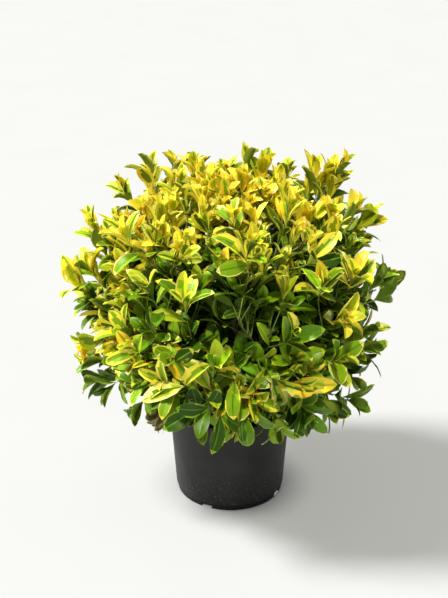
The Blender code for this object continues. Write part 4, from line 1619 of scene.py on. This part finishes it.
# How a leaf is coloured, by how sunny its place is: whether its margin is broad, and the tints of its zones
# in order, each with its share.
DRESSES = {
    "golden": (
        True,
        (("butter yellow", 7), ("egg yolk", 2), ("pale lemon", 1)),
        (("olive", 2), ("lime", 4), ("fresh green", 2), ("butter yellow", 5), ("leaf green", 1)),
        (("butter yellow", 5), ("egg yolk", 2), ("lime", 3)),
        (("lime", 1),),
        (("gold underside", 5), ("egg yolk", 1), ("lime", 1)),
        (("gold underside", 2), ("olive", 2), ("lime", 2), ("fresh green", 1)),
    ),
    "variegated": (
        True,
        (("butter yellow", 6), ("pale lemon", 2), ("lime", 2), ("egg yolk", 1)),
        (("leaf green", 5), ("fresh green", 6), ("olive", 2)),
        (("lime", 6), ("fresh green", 4), ("olive", 1)),
        (("fresh green", 1),),
        (("gold underside", 2), ("pale underside", 3), ("lime", 1)),
        (("pale underside", 3), ("olive", 1), ("green underside", 1)),
    ),
    "edged": (
        False,
        (("pale lemon", 2), ("lime", 5), ("butter yellow", 2), ("fresh green", 2)),
        (("leaf green", 4), ("fresh green", 5), ("deep green", 1), ("lime", 1)),
        (("leaf green", 1),),
        (("lime", 1), ("fresh green", 2), ("leaf green", 2)),
        (("pale underside", 3), ("green underside", 2)),
        (("pale underside", 2), ("green underside", 3)),
    ),
    "plain": (
        False,
        (("leaf green", 4), ("fresh green", 4), ("lime", 1)),
        (("leaf green", 6), ("deep green", 3), ("fresh green", 2)),
        (("leaf green", 1),),
        (("fresh green", 1), ("leaf green", 3)),
        (("green underside", 3), ("pale underside", 1)),
        (("green underside", 1),),
    ),
    "shaded": (
        False,
        (("deep green", 4), ("leaf green", 1)),
        (("deep green", 6), ("leaf green", 1)),
        (("deep green", 1),),
        (("deep green", 1),),
        (("deep green", 1), ("green underside", 1)),
        (("deep green", 1), ("green underside", 1)),
    ),
    "dry": (
        False,
        (("dry brown", 1),),
        (("dry brown", 3), ("pale underside", 1)),
        (("dry brown", 1),),
        (("dry brown", 1),),
        (("dry brown", 1),),
        (("dry brown", 1),),
    ),
}


def sunniness(point, depth, back):
    """How yellow a leaf is: most high up, outside and at the left, less when older, and in part painted light
    and shade.
    """
    left = clamp(-point.x / CROWN_RADIUS, -1.0, 1.0)
    rear = clamp(point.y / CROWN_RADIUS, -1.0, 1.0)
    above = point.z - YELLOW_FROM + YELLOW_LOWER_AT_LEFT * left + YELLOW_LOWER_AT_REAR * rear
    height = clamp(above / YELLOW_RISE)
    sun = SUN_BASE + SUN_WITH_HEIGHT * height + SUN_AT_LEFT * left * (1.0 - height)
    shade = mix(SHADE_LOW, SHADE_HIGH, height) * depth
    skirt = SKIRT_SHADE * clamp((SKIRT_TOP - point.z) / SKIRT_FADE)
    return sun - shade - SHADE_BY_PAIR * back - skirt


def dress_for(sun, depth, rng):
    """What a leaf looks like, from its sun and from how deep it stands in the crown."""
    sun += rng.gauss(0.0, SUN_SPREAD)
    if sun < DRY_BELOW:
        return "dry"
    if depth > SHADED_DEPTH and sun < SHADED_BELOW:
        return "shaded"
    for name, least in LEAST_SUN:
        if sun > least:
            return name
    return "shaded"


def pick(weighted, rng):
    return TINTS.index(rng.choices([name for name, _ in weighted], [share for _, share in weighted])[0])


class Leaf:
    """One leaf: where it grows, how it is turned and sized, its pattern, and a tint for each of its zones."""

    def __init__(self, place, turn, size, pattern, tints):
        self.place, self.turn, self.size, self.pattern, self.tints = place, turn, size, pattern, tints


def turned_leaf(ahead, sideways, opening, roll):
    """(euler, along) of a leaf that opens off a twig, its face leaning to the sky."""
    swing = math.radians(opening)
    along = ahead * math.cos(swing) + sideways * math.sin(swing)
    up = ahead * math.sin(swing) - sideways * math.cos(swing)
    up = up + UPWARDS * LEAF_LEAN_TO_SKY
    across = along.cross(up).normalized()
    up = across.cross(along).normalized()
    tilt = Quaternion(along, math.radians(roll))
    across.rotate(tilt)
    up.rotate(tilt)
    frame_of = Matrix((across, along, up)).transposed()
    return frame_of.to_euler(), along


def in_reach(point):
    """True where a leaf's tip stays within the shrub's own box, or hardly past it."""
    return all(
        low - LEAF_REACH_MARGIN < value < high + LEAF_REACH_MARGIN
        for low, value, high in zip(CAD_LOW, point, CAD_HIGH)
    )


def sprig_leaves(sprig, rng):
    """The leaves of one sprig, in crossed pairs back from its tip."""
    made = []
    first = rng.uniform(0.0, 360.0)
    high = clamp(sprig.direction.z / OPENING_HIGH_AT)
    spread = rng.uniform(*OPENING_VARIES) * mix(OPENING_LOW, OPENING_HIGH, high)
    for k, (back, opening, size) in enumerate(LEAF_PAIRS):
        if sprig.depth > SHADED_DEPTH and k in (0, 1):
            continue
        found = sprig.line.before_tip(back)
        if found is None:
            break
        node, ahead = found
        for side in (0.0, 180.0):
            past = k - LAST_WHOLE_PAIR
            if past > 0 and rng.random() < FALLEN_BY_PAIR * past + FALLEN:
                continue
            sideways = ahead.orthogonal().normalized()
            turn = first + 90.0 * k + side + rng.gauss(0.0, TURN_VARIES)
            sideways.rotate(Quaternion(ahead, math.radians(turn)))
            angle = clamp(opening * spread + rng.gauss(0.0, OPENING_STRAYS), *OPENING_LIMITS)
            euler, along = turned_leaf(ahead, sideways, angle, rng.gauss(0.0, ROLL_VARIES))
            length = size * sprig.size * rng.uniform(*LENGTH_VARIES)
            tip = node + along * (length * LEAF_LENGTH)
            if not in_reach(tip) or not clear_of_pot(tip) or not clear_of_pot(mix(node, tip, 0.6)):
                continue
            name = dress_for(sunniness(tip, sprig.depth, k) + sprig.sun, sprig.depth, rng)
            broad, *zones = DRESSES[name]
            if broad:
                pattern = rng.randrange(BROAD_PATTERNS)
            else:
                pattern = BROAD_PATTERNS + rng.randrange(THIN_PATTERNS)
            scale = Vector((length * rng.uniform(*BREADTH_VARIES), length, length))
            made.append(Leaf(node, euler, scale, pattern, [pick(zone, rng) for zone in zones]))
    return made


def leaf_points(name, leaves):
    """A mesh of one point for each leaf, which carries what the leafing tree reads."""
    mesh = bpy.data.meshes.new(name)
    mesh.from_pydata([leaf.place for leaf in leaves], [], [])

    def store(key, kind, field, values):
        made = mesh.attributes.new(key, kind, "POINT")
        made.data.foreach_set(field, np.array(values).ravel())

    store("turn", "FLOAT_VECTOR", "vector", [tuple(leaf.turn) for leaf in leaves])
    store("size", "FLOAT_VECTOR", "vector", [tuple(leaf.size) for leaf in leaves])
    store("pattern", "INT", "value", [leaf.pattern for leaf in leaves])
    for k, key in enumerate(ZONES):
        store(key, "INT", "value", [leaf.tints[k] for leaf in leaves])
    return link(bpy.data.objects.new(name, mesh))


def drop_attributes(mesh):
    """Takes the leafing tree's own numbers off the finished mesh."""
    for key in ("turn", "size", "pattern", "zone", *ZONES):
        found = mesh.attributes.get(key)
        if found:
            mesh.attributes.remove(found)


def make_foliage(lines):
    """Twigs and leaves of every mass, as two pieces for each."""
    directions = dict(masses())
    stems = {name: stem_line(name, directions[name], lines[name]) for name in directions}
    twigs = []
    for direction, lead in shoots():
        mass = max(directions, key=lambda name: directions[name].dot(direction))
        twigs.append((mass, twig_line(directions[mass], stems[mass], direction, lead)))
    rng = random.Random(SPRIG_SEED)
    sprigs = make_sprigs(twigs, rng)
    finishes = [plain_finish(name, *LEAF_FINISHES[name]) for name in TINTS]
    wood = plain_finish("young grey-green wood", (0.150, 0.160, 0.060), 0.62)
    green = plain_finish("green shoot", (0.200, 0.270, 0.045), 0.50)
    patterns = workshop_collection("leaf patterns")
    leaf_patterns(patterns)
    tree = leafing_tree(finishes)
    total = 0
    for mass in directions:
        own = [sprig for sprig in sprigs if sprig.mass == mass]
        woody = [(stems[mass], 0)] + [(twig, 0) for name, twig in twigs if name == mass]
        curve = twig_curve(f"twigs_{mass}", woody + [(sprig.line, 1) for sprig in own], (wood, green))
        finish_piece(settle(curve), "bark", f"foliage_{mass}")
        leaves = [leaf for sprig in own for leaf in sprig_leaves(sprig, rng)]
        total += len(leaves)
        values = {"Leaf patterns": patterns, "Leaf length": LEAF_LENGTH}
        piece = run_tree(leaf_points(f"leaves_{mass}", leaves), tree, values)
        drop_attributes(piece.data)
        finish_piece(piece, "foliage", f"foliage_{mass}")
    remove_workshop(patterns)
    print("sprigs", len(sprigs), "leaves", total)


# ---------------------------------------------------------------- studio

FLOOR_HALF_WIDTH = 40.0
PAPER_TONES = ((0.3, (0.548, 0.553, 0.550)), (0.7, (0.558, 0.563, 0.560)))
SKY_LIGHT = (1.0, 0.99, 0.95)
SKY_STRENGTH = 0.16
SKY_SEEN = (0.950, 0.960, 0.945)
SUNNY = (1.0, 0.98, 0.94)
EVEN = (0.985, 0.99, 0.98)


def far_lamp(name, towards, strength, softness, colour, floor, on_floor, shaders=()):
    """A lamp far off in this direction, softness degrees across. It lights the floor alone or all the rest.

    Where shaders are given, only they cast its shadow.
    """
    data = bpy.data.lights.new(name, "SUN")
    data.energy = strength
    data.angle = math.radians(softness)
    data.color = colour
    lamp = link(bpy.data.objects.new(name, data))
    lamp.rotation_mode = "QUATERNION"
    lamp.rotation_quaternion = towards.to_track_quat("Z", "Y")
    lit = bpy.data.collections.new(name)
    lit.objects.link(floor)
    lamp.light_linking.receiver_collection = lit
    lit.collection_objects[0].light_linking.link_state = "INCLUDE" if on_floor else "EXCLUDE"
    if shaders:
        shading = bpy.data.collections.new(f"{name} shaded by")
        for piece in shaders:
            shading.objects.link(piece)
        lamp.light_linking.blocker_collection = shading


def make_floor():
    """A wide floor of plain pale paper."""
    floor = bmesh.new()
    bmesh.ops.create_grid(floor, x_segments=1, y_segments=1, size=FLOOR_HALF_WIDTH)
    ground = mesh_object("studio_floor", floor)
    paper = bpy.data.materials.new("pale paper")
    paper.use_nodes = True
    table = NodeTable(paper.node_tree)
    shader = paper.node_tree.nodes["Principled BSDF"]
    place = table.add("ShaderNodeTexCoord").outputs["Object"]
    mottle = table.add("ShaderNodeTexNoise", Vector=place, Scale=3.0, Detail=2.0)
    table.feed(shader.inputs["Base Color"], colour_ramp(table, mottle.outputs["Fac"], PAPER_TONES))
    shader.inputs["Roughness"].default_value = 0.9
    ground.data.materials.append(paper)
    return ground


def make_sky():
    """A faint even sky that lights the shrub, behind which the camera sees a paler one."""
    world = bpy.data.worlds.new("studio sky")
    world.use_nodes = True
    sky = NodeTable(world.node_tree)
    light = world.node_tree.nodes["Background"]
    light.inputs["Color"].default_value = (*SKY_LIGHT, 1.0)
    light.inputs["Strength"].default_value = SKY_STRENGTH
    seen = sky.add("ShaderNodeBackground", Color=(*SKY_SEEN, 1.0), Strength=1.0)
    chosen = sky.add("ShaderNodeMixShader", Fac=sky.add("ShaderNodeLightPath").outputs["Is Camera Ray"])
    sky.feed(chosen.inputs[1], light.outputs[0])
    sky.feed(chosen.inputs[2], seen.outputs[0])
    sky.feed(world.node_tree.nodes["World Output"].inputs["Surface"], chosen.outputs[0])
    bpy.context.scene.world = world


def make_lamps(ground, pot):
    """Two suns on the shrub, from its left and its front, and two lamps on the floor alone."""
    far_lamp("key light", heading(173.0, 49.0), 5.0, 3.0, SUNNY, ground, False)
    far_lamp("front light", heading(-98.0, 61.0), 2.7, 6.0, SUNNY, ground, False)
    far_lamp("floor light", heading(176.5, 49.0), 3.75, 14.0, EVEN, ground, True)
    far_lamp("floor fill", UPWARDS, 2.12, 34.0, SUNNY, ground, True, [pot])


def make_camera():
    camera = bpy.data.cameras.new("camera")
    camera.sensor_width = SENSOR_WIDTH
    camera.lens = camera.sensor_width * VIEW_FOCAL / VIEW_HIGH
    camera.clip_end = 200.0
    eye = link(bpy.data.objects.new("camera", camera))
    eye.location = CAMERA_PLACE
    eye.rotation_euler = Euler((math.radians(CAMERA_TIP), 0.0, 0.0))
    bpy.context.scene.camera = eye
    bpy.context.scene.view_settings.view_transform = "Standard"


def main():
    grain = grain_group()
    pot = make_pot(moulded_pot_finish(grain))
    make_lamps(make_floor(), pot)
    make_sky()
    make_camera()
    make_compost(peat_finish(grain))
    lines = limb_lines()
    make_limbs(lines, bark_finish(grain))
    make_foliage(lines)


main()
